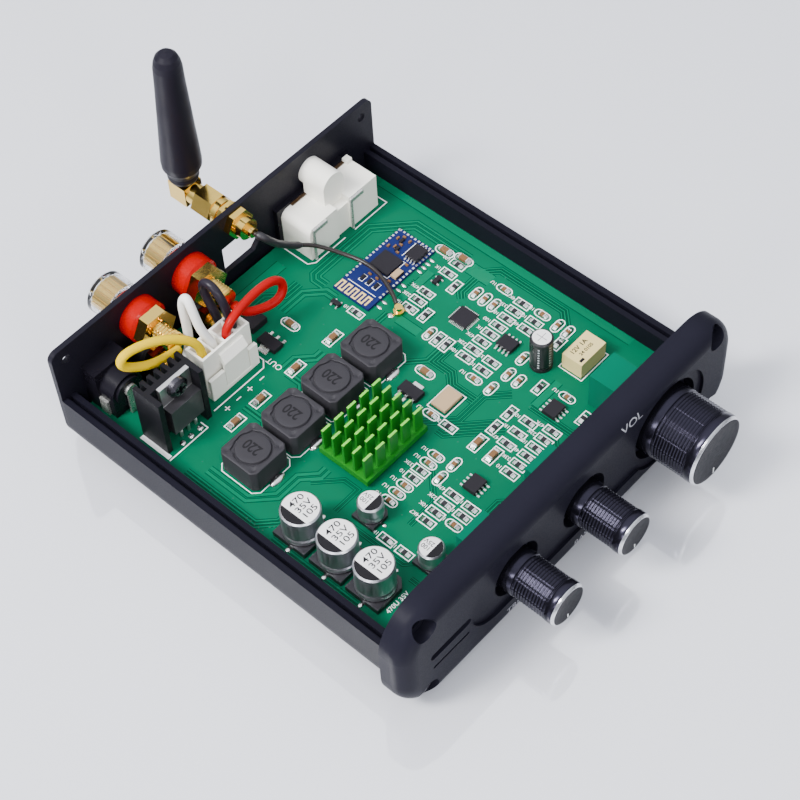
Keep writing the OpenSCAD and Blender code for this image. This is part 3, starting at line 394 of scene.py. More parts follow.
lead_yellow = moulded("lead_yellow", (0.76, 0.51, 0.0), 0.40, 0.9, shine=0.06)
lead_white = moulded("lead_white", (0.95, 0.94, 0.91), 0.36, 0.96, shine=0.3)
lead_red = moulded("lead_red", (0.42, 0.001, 0.003), 0.34, 0.9, shine=0.12)
lead_black = moulded("lead_black", (0.018, 0.014, 0.022), 0.33, shine=0.2)
lead_brown = moulded("lead_brown", (0.016, 0.011, 0.010), 0.36)
shrink_black = moulded("shrink_black", (0.018, 0.016, 0.020), 0.42)
covers = (lead_yellow, lead_white, lead_red, lead_black, lead_brown, shrink_black)
print("covers", ", ".join(cover.name for cover in covers))

# %% Where the four speaker leads run
yellow_route = mm([[-29.2, 35.6, 25.2], [-29.4, 35.5, 28], [-29.8, 36.1, 30.8],
                   [-31.6, 37.3, 33.5], [-35.4, 39.3, 36.2], [-40.3, 41.3, 37.9],
                   [-45.2, 42.6, 38.6], [-48.1, 43, 38.2], [-49, 43.2, 36.6],
                   [-48.2, 43, 34.5], [-45.4, 42.2, 32.2], [-41.9, 41.3, 30.5],
                   [-38.7, 41, 29.3], [-35.3, 40.9, 28.4], [-32.2, 40.95, 27.8]])
white_route = mm([[-24.9, 36.2, 25.2], [-25.3, 36.3, 28], [-26.2, 36.8, 31],
                  [-26.8, 37.8, 34.3], [-26.8, 39.1, 38], [-26.6, 40.3, 40.7],
                  [-26.4, 41.7, 42.1], [-26.6, 42.9, 40.7], [-26.9, 43.2, 37.4],
                  [-26.8, 43.2, 33], [-26.8, 43.2, 28.8], [-27.1, 43.2, 24],
                  [-28, 43.3, 20.6], [-29.05, 43.3, 18.5], [-29.95, 43.3, 16.95]])
red_route = mm([[-20.7, 35.15, 25.2], [-20.8, 35.1, 28], [-20.2, 35, 29.8], [-18.6, 35, 31.2],
                [-15.8, 35.4, 31.9], [-12.1, 36.2, 31.5], [-7.7, 37, 30.8], [-3.7, 37.4, 30],
                [-0.2, 37.4, 28.6], [1.7, 37, 26.3], [1.2, 36.4, 24.1], [-0.9, 36.2, 22.7],
                [-4, 37, 22], [-7.6, 38.3, 22.4], [-9.9, 39.4, 23.3], [-11.2, 40.4, 25],
                [-12, 40.95, 26.8]])
black_route = mm([[-16.6, 37.4, 25.2], [-16.9, 37.5, 28], [-17.3, 37.8, 31],
                  [-17.4, 38.6, 34.4], [-17.4, 40.4, 37.1], [-17.4, 42.5, 38.4],
                  [-17.5, 44.6, 38], [-17.6, 45.6, 36.2], [-17.7, 45, 33.4],
                  [-17.6, 43.6, 30], [-17.2, 42.6, 26], [-16.2, 43, 20.9],
                  [-15.15, 43.3, 18.5], [-14.25, 43.3, 16.95]])


def run_lead(name, route, radius, material, node):
    """A lead along a route that replaces its solid."""
    line = smooth_line(route)
    lead = tube(name, line, radius, material)
    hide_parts(node)
    return line


# %% Run the four speaker leads
LEAD_R = 0.00125
for colour, route, cover in (("yellow", yellow_route, lead_yellow),
                             ("white", white_route, lead_white),
                             ("red", red_route, lead_red),
                             ("black", black_route, lead_black)):
    run_lead(colour + "_lead", route, LEAD_R, cover, "wire_" + colour)

# %% [markdown]
# The aerial lead is a thin brown coaxial cable. Its end at the jack is covered by
# a shrink sleeve, a second tube along the same line that tapers at both ends.

# %% Run the aerial lead
COAX_R = 0.0006
SLEEVE_START, SLEEVE_END = 2, 42
coax_route = mm([[5.8, 50.3, 32.8], [6.4, 48, 32.6], [8, 46.9, 30.4], [10.4, 46.7, 27.3],
                 [13.2, 46.6, 24.4], [16, 46.2, 22], [18.8, 45, 20.6], [22.3, 42.4, 18.5],
                 [25.3, 38.1, 16.5], [27.2, 32.5, 15.7], [27.2, 27, 15.6], [25.6, 21.5, 15.5],
                 [23.9, 17.6, 15.2], [22.7, 15.6, 14.8]])
coax_line = run_lead("aerial_lead", coax_route, COAX_R, lead_brown, "coax_cable")
sleeve_line = coax_line[SLEEVE_START:SLEEVE_END]
sleeve_radius = np.interp(np.linspace(0, 1, len(sleeve_line)), [0, 0.04, 0.94, 1],
                          [0.00085, 0.00112, 0.00106, 0.00068])
sleeve = tube("aerial_lead_sleeve", sleeve_line, sleeve_radius, shrink_black)

# %% [markdown]
# ## Metal finishes
# The tray and the front panel are bead-blasted aluminium, anodised black: a dark
# violet-grey skin with a satin sheen and a very fine grain. Bare machined metal
# shows turning or brushing lines instead, so its noise is stretched one way.

# %% Metal finish
CLOUDS_A_METRE = 90.0


def metal(name, colour, rough=0.3, shade=0.85, grain=2500.0, depth=0.000008,
          stretch=(1, 1, 1), metallic=1.0, spread=0.07, shine=0.5):
    """Metal: two near shades and an uneven polish, with grain drawn out by stretch."""
    material, tree, shader = new_finish(name)
    coarse = mottle(tree, place_of(tree), CLOUDS_A_METRE, 3.0)
    fine = mottle(tree, place_of(tree, stretch), grain)
    dark = tuple(c * shade for c in colour)
    tree.links.new(blend_of(tree, coarse, dark, colour), shader.inputs["Base Color"])
    tree.links.new(between(tree, fine, rough - spread, rough + spread), shader.inputs["Roughness"])
    shader.inputs["Metallic"].default_value = metallic
    shader.inputs["Specular IOR Level"].default_value = shine
    relief(tree, shader, fine, depth, 0.5)
    return material


def give(material, *nodes):
    """Puts one material on the named solids and says so."""
    for name in nodes:
        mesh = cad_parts[name].data
        mesh.materials.clear()
        mesh.materials.append(material)
    print(material.name, "on", ", ".join(nodes))


case_black = metal("case_black", (0.008, 0.0075, 0.013), 0.38, 0.8, 3000.0, 0.00001,
                   metallic=0.0, shine=0.05)
panel_black = metal("panel_black", (0.0125, 0.012, 0.0195), 0.36, 0.85, 3500.0, 0.00001,
                    metallic=0.0, shine=0.03)
plate_black = metal("plate_black", (0.009, 0.008, 0.014), 0.46, 0.8, 2500.0, 0.00001,
                    metallic=0.0, shine=0.12)
sink_black = metal("sink_black", (0.006, 0.0055, 0.008), 0.42, 0.8, metallic=0.0,
                   stretch=(0.15, 3, 1), depth=0.00003, shine=0.2)
gold = metal("gold_plating", (0.92, 0.62, 0.15), 0.15, 0.9, 1200.0, 0.0000008, spread=0.03)
steel = metal("screw_steel", (0.60, 0.59, 0.58), 0.28)
dark_steel = metal("dark_steel", (0.10, 0.095, 0.11), 0.30)
tin = metal("bright_tin", (0.90, 0.89, 0.87), 0.26, 0.9, metallic=0.9)
solder = metal("solder", (0.88, 0.87, 0.85), 0.22, 0.8, 700.0, 0.00006)
give(case_black, "lower_shell")
give(panel_black, "front_panel")
give(plate_black, "back_panel")
give(sink_black, "regulator_heatsink")
give(gold, "rca_barrels", "post_nuts", "post_studs", "post_sleeve_1", "post_sleeve_2",
     "post_sleeve_3", "post_sleeve_4", "sma_jack", "sma_nut", "antenna_nut", "antenna_elbow",
     "coax_plug")
give(steel, "volume_shaft", "bass_shaft", "treble_shaft", "rca_screw")
give(dark_steel, "case_screws", "regulator_screw")

# %% [markdown]
# ## Plastic parts
# Housings, collars and packages are moulded. Each gets the same kind of finish in
# its own colour. The clear caps of the terminals let light through, so the gold
# sleeve inside them shows.

# %% Plastic on the solids
white_nylon = moulded("white_nylon", (0.98, 0.955, 0.87), 0.40, 0.98, shine=0.25)
red_plastic = moulded("red_plastic", (0.38, 0.001, 0.0006), 0.26, 0.9, shine=0.12)
black_plastic = moulded("black_plastic", (0.014, 0.013, 0.016), 0.32, shine=0.4)
jack_black = moulded("jack_black", (0.008, 0.007, 0.011), 0.30, shine=0.14)
aerial_black = moulded("aerial_black", (0.009, 0.0075, 0.014), 0.46, 0.9, 1500.0,
                       shine=0.15)
chip_black = moulded("chip_black", (0.014, 0.012, 0.016), 0.50, 0.85, 3000.0, shine=0.2)
foot_black = moulded("foot_black", (0.02, 0.02, 0.02), 0.8)
ferrite = moulded("ferrite_grey", (0.030, 0.028, 0.033), 0.50, 0.82, 2200.0, 0.00003,
                  shine=0.2)
pot_teal = moulded("pot_teal", (0.0, 0.125, 0.070), 0.45, 0.94, shine=0.03)
relay_cream = moulded("relay_cream", (0.74, 0.59, 0.25), 0.40, 0.96, shine=0.25)
give(white_nylon, "rca_housing", "output_header", "output_plug")
give(red_plastic, "red_collars")
give(black_plastic, "black_collars", "radial_capacitor")
give(jack_black, "power_jack", "rca_faceplate")
give(aerial_black, "antenna_whip")
give(chip_black, "regulator", "board_chips")
give(foot_black, "rubber_feet")
give(ferrite, "inductors")
give(pot_teal, "volume_pot", "bass_pot", "treble_pot")
give(relay_cream, "relay")


# %% Clear caps
def clear_finish():
    """Clear plastic with a faint warm tint and fine scratches."""
    material, tree, shader = new_finish("clear_cap")
    fine = mottle(tree, place_of(tree, (1, 0.1, 1)), 1500.0)
    tree.links.new(blend_of(tree, fine, (0.90, 0.90, 0.89), (0.94, 0.94, 0.93)),
                   shader.inputs["Base Color"])
    tree.links.new(between(tree, fine, 0.04, 0.12), shader.inputs["Roughness"])
    shader.inputs["Transmission Weight"].default_value = 1.0
    shader.inputs["IOR"].default_value = 1.30
    shader.inputs["Coat Weight"].default_value = 0.6
    return material


give(clear_finish(), "post_cap_1", "post_cap_2", "post_cap_3", "post_cap_4")

# %% [markdown]
# ## The green board
# The board is glass fibre under a coat of green solder mask. Where copper lies
# under the mask the green is a little lighter and stands up by a hair. The mask
# itself is glossy. Its finish mixes two greens in soft patches, and the copper
# tracks are thin strips that are laid on it below.

# %% The solder mask
def mask_finish(name, low, high, rough):
    """Lacquer over glass cloth: soft patches of two shades and a faint unevenness."""
    material, tree, shader = new_finish(name)
    where = place_of(tree)
    tree.links.new(blend_of(tree, mottle(tree, where, 45.0, 3.0), low, high),
                   shader.inputs["Base Color"])
    tree.links.new(between(tree, mottle(tree, where, 300.0), rough - 0.04, rough + 0.05),
                   shader.inputs["Roughness"])
    relief(tree, shader, mottle(tree, where, 1400.0), 0.000012, 0.4)
    shader.inputs["Specular IOR Level"].default_value = 0.05
    return material


board_green = mask_finish("board_green", (0.0, 0.096, 0.046), (0.0, 0.134, 0.064), 0.36)
track_green = mask_finish("track_green", (0.0, 0.127, 0.060), (0.0, 0.160, 0.076), 0.34)
track_edge = mask_finish("track_edge", (0.0001, 0.030, 0.015), (0.0001, 0.040, 0.020), 0.4)
module_blue = mask_finish("module_blue", (0.010, 0.016, 0.082), (0.013, 0.021, 0.108), 0.36)
print_white = moulded("print_white", (0.95, 0.96, 0.95), 0.5, 0.96)
give(board_green, "main_board")
give(module_blue, "radio_module")
give(chip_black, "radio_parts")
BOARD_MM = box_mm("main_board")[1][2]
print("the board's top lies", BOARD_MM, "mm above the floor")

# %% [markdown]
# ## Knobs
# Each knob is turned from bar: a plain collar, a narrow groove, a grip with fine
# rings that long flutes cut into panels, another groove, a plain band, a bright
# cut edge and a dished face with a short white pointer. The whole skin is one
# function of two parameters: the distance along the knob gives a radius, and the
# angle takes a little away where a flute runs. Keeping it as real relief lets the
# lamps draw the bright ladder along the grip.

# %% Knob finishes
knob_dark = metal("knob_dark", (0.030, 0.028, 0.042), 0.20, 0.94, 3000.0, 0.000001,
                  metallic=0.85, spread=0.03, shine=0.1)
knob_edge = metal("knob_edge", (0.74, 0.74, 0.76), 0.22, 0.92)
RINGS_PER_METRE = 30000.0


def face_finish(name, centre_x, centre_z):
    """Fine turned rings: the relief is the sine of the distance from the axis."""
    material, tree, shader = new_finish(name)
    where = place_of(tree)
    parts = axes_of(tree, where)
    away = distance(tree, mathematics(tree, "SUBTRACT", parts["X"], centre_x),
                    mathematics(tree, "SUBTRACT", parts["Z"], centre_z))
    rings = mathematics(tree, "SINE", mathematics(tree, "MULTIPLY", away, RINGS_PER_METRE))
    tree.links.new(blend_of(tree, mottle(tree, where, 120.0),
                            (0.0045, 0.004, 0.007), (0.0065, 0.006, 0.009)),
                   shader.inputs["Base Color"])
    tree.links.new(between(tree, mottle(tree, where, 900.0), 0.30, 0.38),
                   shader.inputs["Roughness"])
    shader.inputs["Specular IOR Level"].default_value = 0.04
    relief(tree, shader, rings, 0.000004, 0.6)
    return material


# %% The knobs' profile
KNOB_LOW, KNOB_HIGH = box_mm("volume_knob")
KNOB_LONG = KNOB_HIGH[1] - KNOB_LOW[1]
KNOB_BACK = mm(KNOB_HIGH[1])
KNOB_FRONT = mm(KNOB_LOW[1])
KNOB_Z = mm(np.round(box_mm("volume_shaft")[:, 2].mean(), 2))
BORE_LONG, BORE_R = 15.0, 3.15
COLLAR_LONG = 5.2
GRIP_START, GRIP_LONG = 5.85, 9.4
GROOVE_STARTS, GROOVE_WIDE, GROOVE_DEEP = (5.3, 15.3), 0.5, 0.6
GROOVE_SLOPE, CHAMFER = 0.02, 0.08
BAND_START, BAND_END = 15.9, 17.85
CUT_START, CUT_END = 17.92, 18.52
RINGS, RING_DEEP = 11, 0.26
RIM_CUT, DISH_DEEP, DISH_ROWS = 0.62, 0.25, 12


def groove_rows(start, r, before, after):
    """A square groove in the knob; before and after say how far its edges are fluted."""
    end = start + GROOVE_WIDE
    return [(start, r - CHAMFER, before), (start + GROOVE_SLOPE, r - GROOVE_DEEP, 0),
            (end - GROOVE_SLOPE, r - GROOVE_DEEP, 0), (end, r - CHAMFER, after)]


def knob_profile(r):
    """Rows of distance from the back, radius and how far the row is fluted, in mm.

    Between two of the grip's rings the radius falls by RING_DEEP times the bell curve
    of the distance from the groove's middle. The last rows are the dished face.
    """
    steps = np.linspace(0, 1, RINGS * 8 + 1)
    groove = np.exp(-(((steps * RINGS) % 1 - 0.5) / 0.22) ** 2)
    rim = r - RIM_CUT
    rows = [(BORE_LONG, BORE_R, 0), (0, BORE_R, 0), (0, r - 0.5, 0), (0.15, r - 0.15, 0),
            (0.5, r, 0), (COLLAR_LONG, r, 0)]
    rows += groove_rows(GROOVE_STARTS[0], r, 0, 0.3)
    rows += [(GRIP_START + GRIP_LONG * step, r - RING_DEEP * deep, 1)
             for step, deep in zip(steps, groove)]
    rows += groove_rows(GROOVE_STARTS[1], r, 0.3, 0)
    rows += [(BAND_START, r, 0), (BAND_END, r, 0),
             (CUT_START, r - 0.04, 0), (CUT_END, r - 0.5, 0), (KNOB_LONG, rim, 0)]
    edge_rows = (len(rows) - 3, len(rows) - 1)
    rows += [(KNOB_LONG - DISH_DEEP * (1 - (k / DISH_ROWS) ** 2), rim * k / DISH_ROWS, 0)
             for k in range(DISH_ROWS - 1, 0, -1)]
    return np.array(rows), edge_rows


print("knobs", KNOB_LONG, "mm long, axes", round(float(KNOB_Z) * 1000, 1), "mm up")

# %% [markdown]
# The profile is turned round the knob's axis. Each row of the mesh is one ring of
# points, and the faces between two rings get the dark metal, the bright cut edge
# or the turned face.

# %% Turn the knobs
PER_FLUTE = 20
FLUTE_DEEP = 0.26
DARK, EDGE, FACE = 0, 1, 2


def knob_skin(name, centre_x, r, flutes, flute_wide, node, body):
    """Radius of row and angle: flat panels on the grip, with a thin flute between two.

    At the angle a from its middle a flat panel lies at r * cos(pi / n) / cos(a).
    The flute's depth is FLUTE_DEEP times a bell curve.
    """
    rows, edge_rows = knob_profile(r)
    count = flutes * PER_FLUTE
    angle = np.linspace(0, 2 * np.pi, count, endpoint=False)
    phase = (np.arange(count) % PER_FLUTE) / PER_FLUTE
    dip = np.exp(-((phase - 0.5) / flute_wide) ** 2)
    from_middle = ((phase + 0.5) % 1 - 0.5) * 2 * np.pi / flutes
    flat = np.cos(np.pi / flutes) / np.cos(from_middle)
    fluted = rows[:, 2][:, None]
    radius = mm(rows[:, 1])[:, None] * (1 - fluted * (1 - flat)) - mm(FLUTE_DEEP) * fluted * dip
    y = KNOB_BACK - mm(rows[:, 0])[:, None] + 0 * radius
    skin = np.stack([centre_x + radius * np.cos(angle), y, KNOB_Z + radius * np.sin(angle)], -1)
    inside = [centre_x, KNOB_BACK - mm(BORE_LONG), KNOB_Z]
    front = [centre_x, KNOB_FRONT + mm(DISH_DEEP), KNOB_Z]
    points = np.vstack([skin.reshape(-1, 3), inside, front])
    inner = len(rows) * count
    first = np.arange(count)
    last = inner - count + first
    back_fan = np.column_stack([np.full(count, inner), np.roll(first, -1), first])
    front_fan = np.column_stack([np.full(count, inner + 1), last, np.roll(last, -1)])
    quads = ring_faces(len(rows), count)
    piece = new_piece(name, points, quads.tolist() + back_fan.tolist() + front_fan.tolist(),
                      knob_dark, body)
    piece.data.materials.append(knob_edge)
    piece.data.materials.append(face_finish(name + "_face", centre_x, KNOB_Z))
    row = np.repeat(np.arange(len(rows) - 1), count)
    which = np.full(len(piece.data.polygons), DARK)
    which[:len(row)][(row >= edge_rows[0]) & (row < edge_rows[1])] = EDGE
    which[:len(row)][row >= edge_rows[1]] = FACE
    which[-count:] = FACE
    piece.data.polygons.foreach_set("material_index", which)
    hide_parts(node)
    print(name, len(piece.data.polygons), "faces")


def knob_axis(control):
    """A knob's middle from left to right and its radius, in millimetres."""
    middle = np.round(box_mm(control + "_pot")[:, 0].mean(), 2)
    return middle, np.round(box_mm(control + "_knob")[1][0] - middle, 2)


# Each control with the number of its flutes and the share of a panel that one takes
CONTROLS = (("volume", 16, 0.055), ("bass", 12, 0.075), ("treble", 12, 0.075))
for control, flutes, flute_wide in CONTROLS:
    middle, r = knob_axis(control)
    knob_skin(control + "_knob_skin", mm(middle), r, flutes, flute_wide,
              control + "_knob", control + "_control")


# %% Pointers on the knobs
POINTER_WIDE, POINTER_DEEP, POINTER_LONG = 0.32, 0.3, 0.22
POINTER_FROM_RIM = 0.95


def slab(low, high):
    """Eight corners and six outward faces of a block."""
    (x0, y0, z0), (x1, y1, z1) = low, high
    corners = [(x0, y0, z0), (x1, y0, z0), (x1, y1, z0), (x0, y1, z0),
               (x0, y0, z1), (x1, y0, z1), (x1, y1, z1), (x0, y1, z1)]
    faces = [(0, 3, 2, 1), (4, 5, 6, 7), (0, 1, 5, 4), (1, 2, 6, 5), (2, 3, 7, 6), (3, 0, 4, 7)]
    return corners, faces


def slabs(name, blocks, material, body=BODY):
    """Many blocks in one piece; each block is (lowest corner, highest corner)."""
    points, faces = [], []
    for low, high in blocks:
        corners, sides = slab(low, high)
        faces += [tuple(len(points) + i for i in side) for side in sides]
        points += corners
    return new_piece(name, points, faces, material, body, smooth=False)


for control, flutes, flute_wide in CONTROLS:
    middle, r = knob_axis(control)
    tip = KNOB_Z + mm(POINTER_FROM_RIM - r)
    low = (mm(middle - POINTER_WIDE / 2), KNOB_FRONT, tip)
    high = (mm(middle + POINTER_WIDE / 2), KNOB_FRONT + mm(POINTER_DEEP), tip + mm(POINTER_LONG * r))
    pointer = slabs(control + "_pointer", [(low, high)], print_white, control + "_control")
print("pointers", len(CONTROLS))

# %% [markdown]
# ## Lettering
# The few words on the object are plain ones: what each knob does, the output's
# plus and minus, and values on parts. Blender's own typeface is turned into a
# flat mesh and laid where it belongs by a corner and two directions: right and up.
# The panel's words are also cut into narrow bands, so that they can bend over its
# rounded edge.

# %% Words as meshes
CAPITAL_SHARE = 0.7


def word_mesh(text, height, bands, bold):
    """Flat triangles of a word as points and faces; its lower left corner is at 0, 0.

    The height is in millimetres, and bold thickens each stroke by that share of it
    on either side.
    """
    height = mm(height)
    curve = bpy.data.curves.new("word", "FONT")
    curve.body = text
    curve.size = height / CAPITAL_SHARE
    curve.offset = bold * height
    holder = bpy.data.objects.new("word", curve)
    bpy.context.scene.collection.objects.link(holder)
    bpy.context.view_layer.update()
    seen = holder.evaluated_get(bpy.context.evaluated_depsgraph_get())
    flat = bpy.data.meshes.new_from_object(seen)
    bpy.data.objects.remove(holder)
    if bands:
        work = bmesh.new()
        work.from_mesh(flat)
        for k in range(1, bands):
            bmesh.ops.bisect_plane(work, geom=work.verts[:] + work.edges[:] + work.faces[:],
                                   plane_co=(0, height * k / bands, 0), plane_no=(0, 1, 0))
        work.to_mesh(flat)
        work.free()
    points = np.empty(len(flat.vertices) * 3)
    flat.vertices.foreach_get("co", points)
    faces = [tuple(p.vertices) for p in flat.polygons]
    return points.reshape(-1, 3), faces


def letters(name, words, material, bands=0, bold=0.0, bend=np.asarray):
    """Several words in one piece; each is (text, height, lower left corner, right, up).

    Height and corner are in millimetres. A point is the corner plus right times its
    x plus up times its y, and bend then moves the points onto a curved face.
    """
    all_points, all_faces, count = [], [], 0
    for text, height, corner, right, up in words:
        points, faces = word_mesh(text, height, bands, bold)
        placed = mm(corner) + points[:, :1] * np.array(right) + points[:, 1:2] * np.array(up)
        all_points.append(placed)
        all_faces += [tuple(count + i for i in face) for face in faces]
        count += len(placed)
    piece = new_piece(name, bend(np.vstack(all_points)), all_faces, material, smooth=False)
    print(name, len(words), "words,", len(all_faces), "faces")


# %% The front panel's words
PANEL_LOW, PANEL_HIGH = box_mm("front_panel")
PANEL_FRONT = PANEL_LOW[1]
EDGE_R = 4.8
INK_THICK = 0.03
print_grey = moulded("print_grey", (0.36, 0.36, 0.40), 0.4, 0.9)


def over_edge(points):
    """Bends flat points back over the panel's rounded upper and lower edges.

    At a height d past the flat part the face lies back by r - sqrt(r * r - d * d).
    """
    z = points[:, 2] * 1000
    above, below = z - (PANEL_HIGH[2] - EDGE_R), PANEL_LOW[2] + EDGE_R - z
    past = np.clip(np.maximum(above, below), 0, EDGE_R * 0.98)
    points[:, 1] = mm(PANEL_FRONT + EDGE_R - np.sqrt(EDGE_R ** 2 - past ** 2) - INK_THICK)
    return points


letters("panel_words", [
    ("VOL", 2.1, (16.4, PANEL_FRONT, 33.3), (1.4, 0, 0), (0, 0, 1)),
    ("BASS", 2.2, (-1.0, PANEL_FRONT, 3.9), (1, 0, 0), (0, 0, 1)),
    ("TRE", 2.2, (-27.2, PANEL_FRONT, 4.2), (1, 0, 0), (0, 0, 1))],
    print_grey, bands=8, bend=over_edge)

# %% [markdown]
# ## Copper, print and solder on the board
# A circuit board is drawn in layers: copper tracks under the green lacquer, white
# print on top of it, and bare tinned pads where parts are soldered. Each layer is
# a set of flat ribbons, less than a tenth of a millimetre above the board. A ribbon
# follows a line of points, with its corners mitred.

# %% Ribbons
def ribbon(points, width, z, closed=False):
    """The left and right edge of a flat strip along a line, at height z.

    At each point the strip's half width is stretched by one over the cosine of
    half the turn, so that straight parts keep their width.
    """
    p = mm(points)
    if closed:
        before, after = np.roll(p, 1, 0), np.roll(p, -1, 0)
    else:
        before = np.vstack([2 * p[0] - p[1], p[:-1]])
        after = np.vstack([p[1:], 2 * p[-1] - p[-2]])
    u = (p - before) / np.linalg.norm(p - before, axis=1)[:, None]
    v = (after - p) / np.linalg.norm(after - p, axis=1)[:, None]
    middle = u + v
    middle /= np.linalg.norm(middle, axis=1)[:, None]
    normal = np.stack([-middle[:, 1], middle[:, 0]], -1)
    stretch = 1 / np.clip((middle * v).sum(1), 0.4, 1)
    half = normal * (mm(width) / 2 * stretch)[:, None]
    n = len(p)
    edge = np.vstack([p + half, p - half])
    points3 = np.column_stack([edge, np.full(2 * n, z)])
    i = np.arange(n if closed else n - 1)
    j = (i + 1) % n
    return points3, np.stack([i + n, j + n, j, i], -1)


def flat_layer(name, strips, z, material, rise=0.0):
    """Many ribbons in one piece; each is (points, width, closed).

    Each ribbon lies higher than the last by rise, so that two that cross never share
    a plane.
    """
    points, faces, count = [], [], 0
    for step, (line, width, closed) in enumerate(strips):
        p, f = ribbon(line, width, z + step * rise, closed)
        points.append(p)
        faces += (f + count).tolist()
        count += len(p)
    layer = new_piece(name, np.vstack(points), faces, material, smooth=False)
    print(name, len(strips), "ribbons")


def frame_line(x, y, w, l):
    """The four corners of a rectangle round x, y."""
    a, b = w / 2, l / 2
    return [(x - a, y - b), (x + a, y - b), (x + a, y + b), (x - a, y + b)]


def cut_line(x, y, half, cut):
    """The eight corners of a square round x, y whose corners are cut off."""
    outline = [(-half, cut - half), (cut - half, -half), (half - cut, -half), (half, cut - half),
               (half, half - cut), (half - cut, half), (cut - half, half), (-half, half - cut)]
    return [(x + a, y + b) for a, b in outline]


END_STEPS = 6


def round_line(x, y, w, l):
    """An outline with round ends along its longer side."""
    r, turned = min(w, l) / 2, l > w
    reach = max(w, l) / 2 - r
    a = np.linspace(-np.pi / 2, np.pi / 2, END_STEPS)
    right = np.column_stack([reach + r * np.cos(a), r * np.sin(a)])
    outline = np.vstack([right, -right])
    if turned:
        outline = np.column_stack([-outline[:, 1], outline[:, 0]])
    return (outline + (x, y)).tolist()


# %% [markdown]
# ### Small ceramic parts
# Resistors and capacitors are blocks with a tinned cap at each end, held by a
# slope of solder. They stand in rows, so a row is given by its first place, its
# step and its count. The printed frame round a capacitor has round ends, and the
# one round a resistor is square.

# %% Where the small chips are
def places(rows):
    """Each row is (first x, first y, step along x, step along y, count)."""
    return [(x + i * dx, y + i * dy) for x, y, dx, dy, count in rows for i in range(count)]


chips_along_y = places([(22, -9.5, 3.4, 0, 8), (25, 13, 3.5, 0, 3), (41, 13, 4, 0, 2),
                        (18, -16, 3.6, 0, 3), (39.5, -16, 3.4, 0, 3), (46.5, -2.5, 0, 0, 1),
                        (2, -15, 0, -6, 2), (7.5, -36, 4.4, 0, 3), (29, -38.5, 0, 0, 1),
                        (1, -42.5, 3.4, 0, 6), (-20, -42, 3.3, 0, 3), (-25, -24.7, 3, 0, 7),
                        (-23.5, -36, 3.4, 0, 4), (-34, -32, 0, -6, 2), (14.5, 23, 0, 0, 1)])
chips_along_x = places([(38.5, 8.5, 0, 0, 1), (26, 8, 0, 0, 1), (22, 3, 0, -3, 3),
                        (40.5, 2.5, 0, -3.2, 3), (25, -22, 0, -3.5, 2), (46, -21.5, 0, -3.5, 2),
                        (18.5, -21.5, 0, 0, 1), (31.5, -21.5, 0, 0, 1), (27, -31, 0, 0, 1),
                        (41.5, -25.5, 0, 0, 1), (9.5, -30.3, 6, 0, 2), (26.5, -46, 0, 0, 1),
                        (-11.5, -30, 5.5, 0, 2)])
caps_along_y = places([(46.5, 19, 1, -6, 2), (11.4, -4.7, 0, 0, 1), (0.2, 33.9, 0, 0, 1)])
caps_along_x = places([(3, -30.2, -0.5, -5.5, 2), (4.1, 21.8, 0, 0, 1), (-9.8, 22.4, -13.4, 0, 2),
                       (-32.7, 22.2, 0, 0, 1)])
round_framed = {(46.5, -2.5), (18, -16), (46.3, -16), (29, -38.5), (2, -15), (-25, -24.7),
                (-22, -24.7), (-19, -24.7), (-10, -24.7), (-7, -24.7), (-20, -42),
                (22, 3), (40.5, 2.5), (40.5, -0.7), (40.5, -3.9), (25, -22), (25, -25.5),
                (18.5, -21.5), (46, -21.5), (46, -25), (31.5, -21.5), (-11.5, -30), (-6, -30)}


def is_round(spot):
    """Whether the part at a place is a capacitor, whose printed frame is round."""
    return any(math.dist(spot, other) < 0.2 for other in round_framed)


square_spots_y = [spot for spot in chips_along_y if not is_round(spot)]
square_spots_x = [spot for spot in chips_along_x if not is_round(spot)]
round_spots_y = [spot for spot in chips_along_y if is_round(spot)]
round_spots_x = [spot for spot in chips_along_x if is_round(spot)]
print("resistors", len(square_spots_y + square_spots_x),
      "capacitors", len(round_spots_y + round_spots_x + caps_along_y + caps_along_x))

# %% Chip bodies, tinned ends and solder
SMALL, LARGE = (2.0, 1.25), (3.2, 1.6)
PAD_LONG = 0.8
SEAT = 0.02
resistor_black = moulded("resistor_black", (0.020, 0.019, 0.022), 0.35, 0.85, shine=0.25)
capacitor_tan = moulded("capacitor_tan", (0.19, 0.095, 0.040), 0.42, 0.85, shine=0.2)
resonator_beige = moulded("resonator_beige", (0.44, 0.30, 0.17), 0.45, 0.92, shine=0.2)


def block(x, y, long, wide, low, high):
    """The two corners of a block centred on x, y, between two heights above the board."""
    return (mm((x - long / 2, y - wide / 2, BOARD_MM + low)),
            mm((x + long / 2, y + wide / 2, BOARD_MM + high)))


def lying(x, y, long, wide, height, turned, shift=0.0):
    """A block on the board, long along Y if turned; shift moves it along its length."""
    if turned:
        return block(x, y + shift, wide, long, SEAT, SEAT + height)
    return block(x + shift, y, long, wide, SEAT, SEAT + height)


def add_parts(spots, turned, size, height, end, bodies):
    """Adds each spot's body to bodies, and its two metal ends and two solder slopes."""
    long, wide = size
    for x, y in spots:
        bodies.append(lying(x, y, long - 2 * end, wide, height, turned))
        for side in (-1, 1):
            ends.append(lying(x, y, end, wide + 0.04, height + 0.03, turned,
                              side * (long - end) / 2))
            low, high = lying(x, y, PAD_LONG, wide - 0.1, height * 0.7, turned,
                              side * (long / 2 + PAD_LONG / 2 - 0.05))
            solder_blocks.append((low, high, (0, side) if turned else (side, 0)))


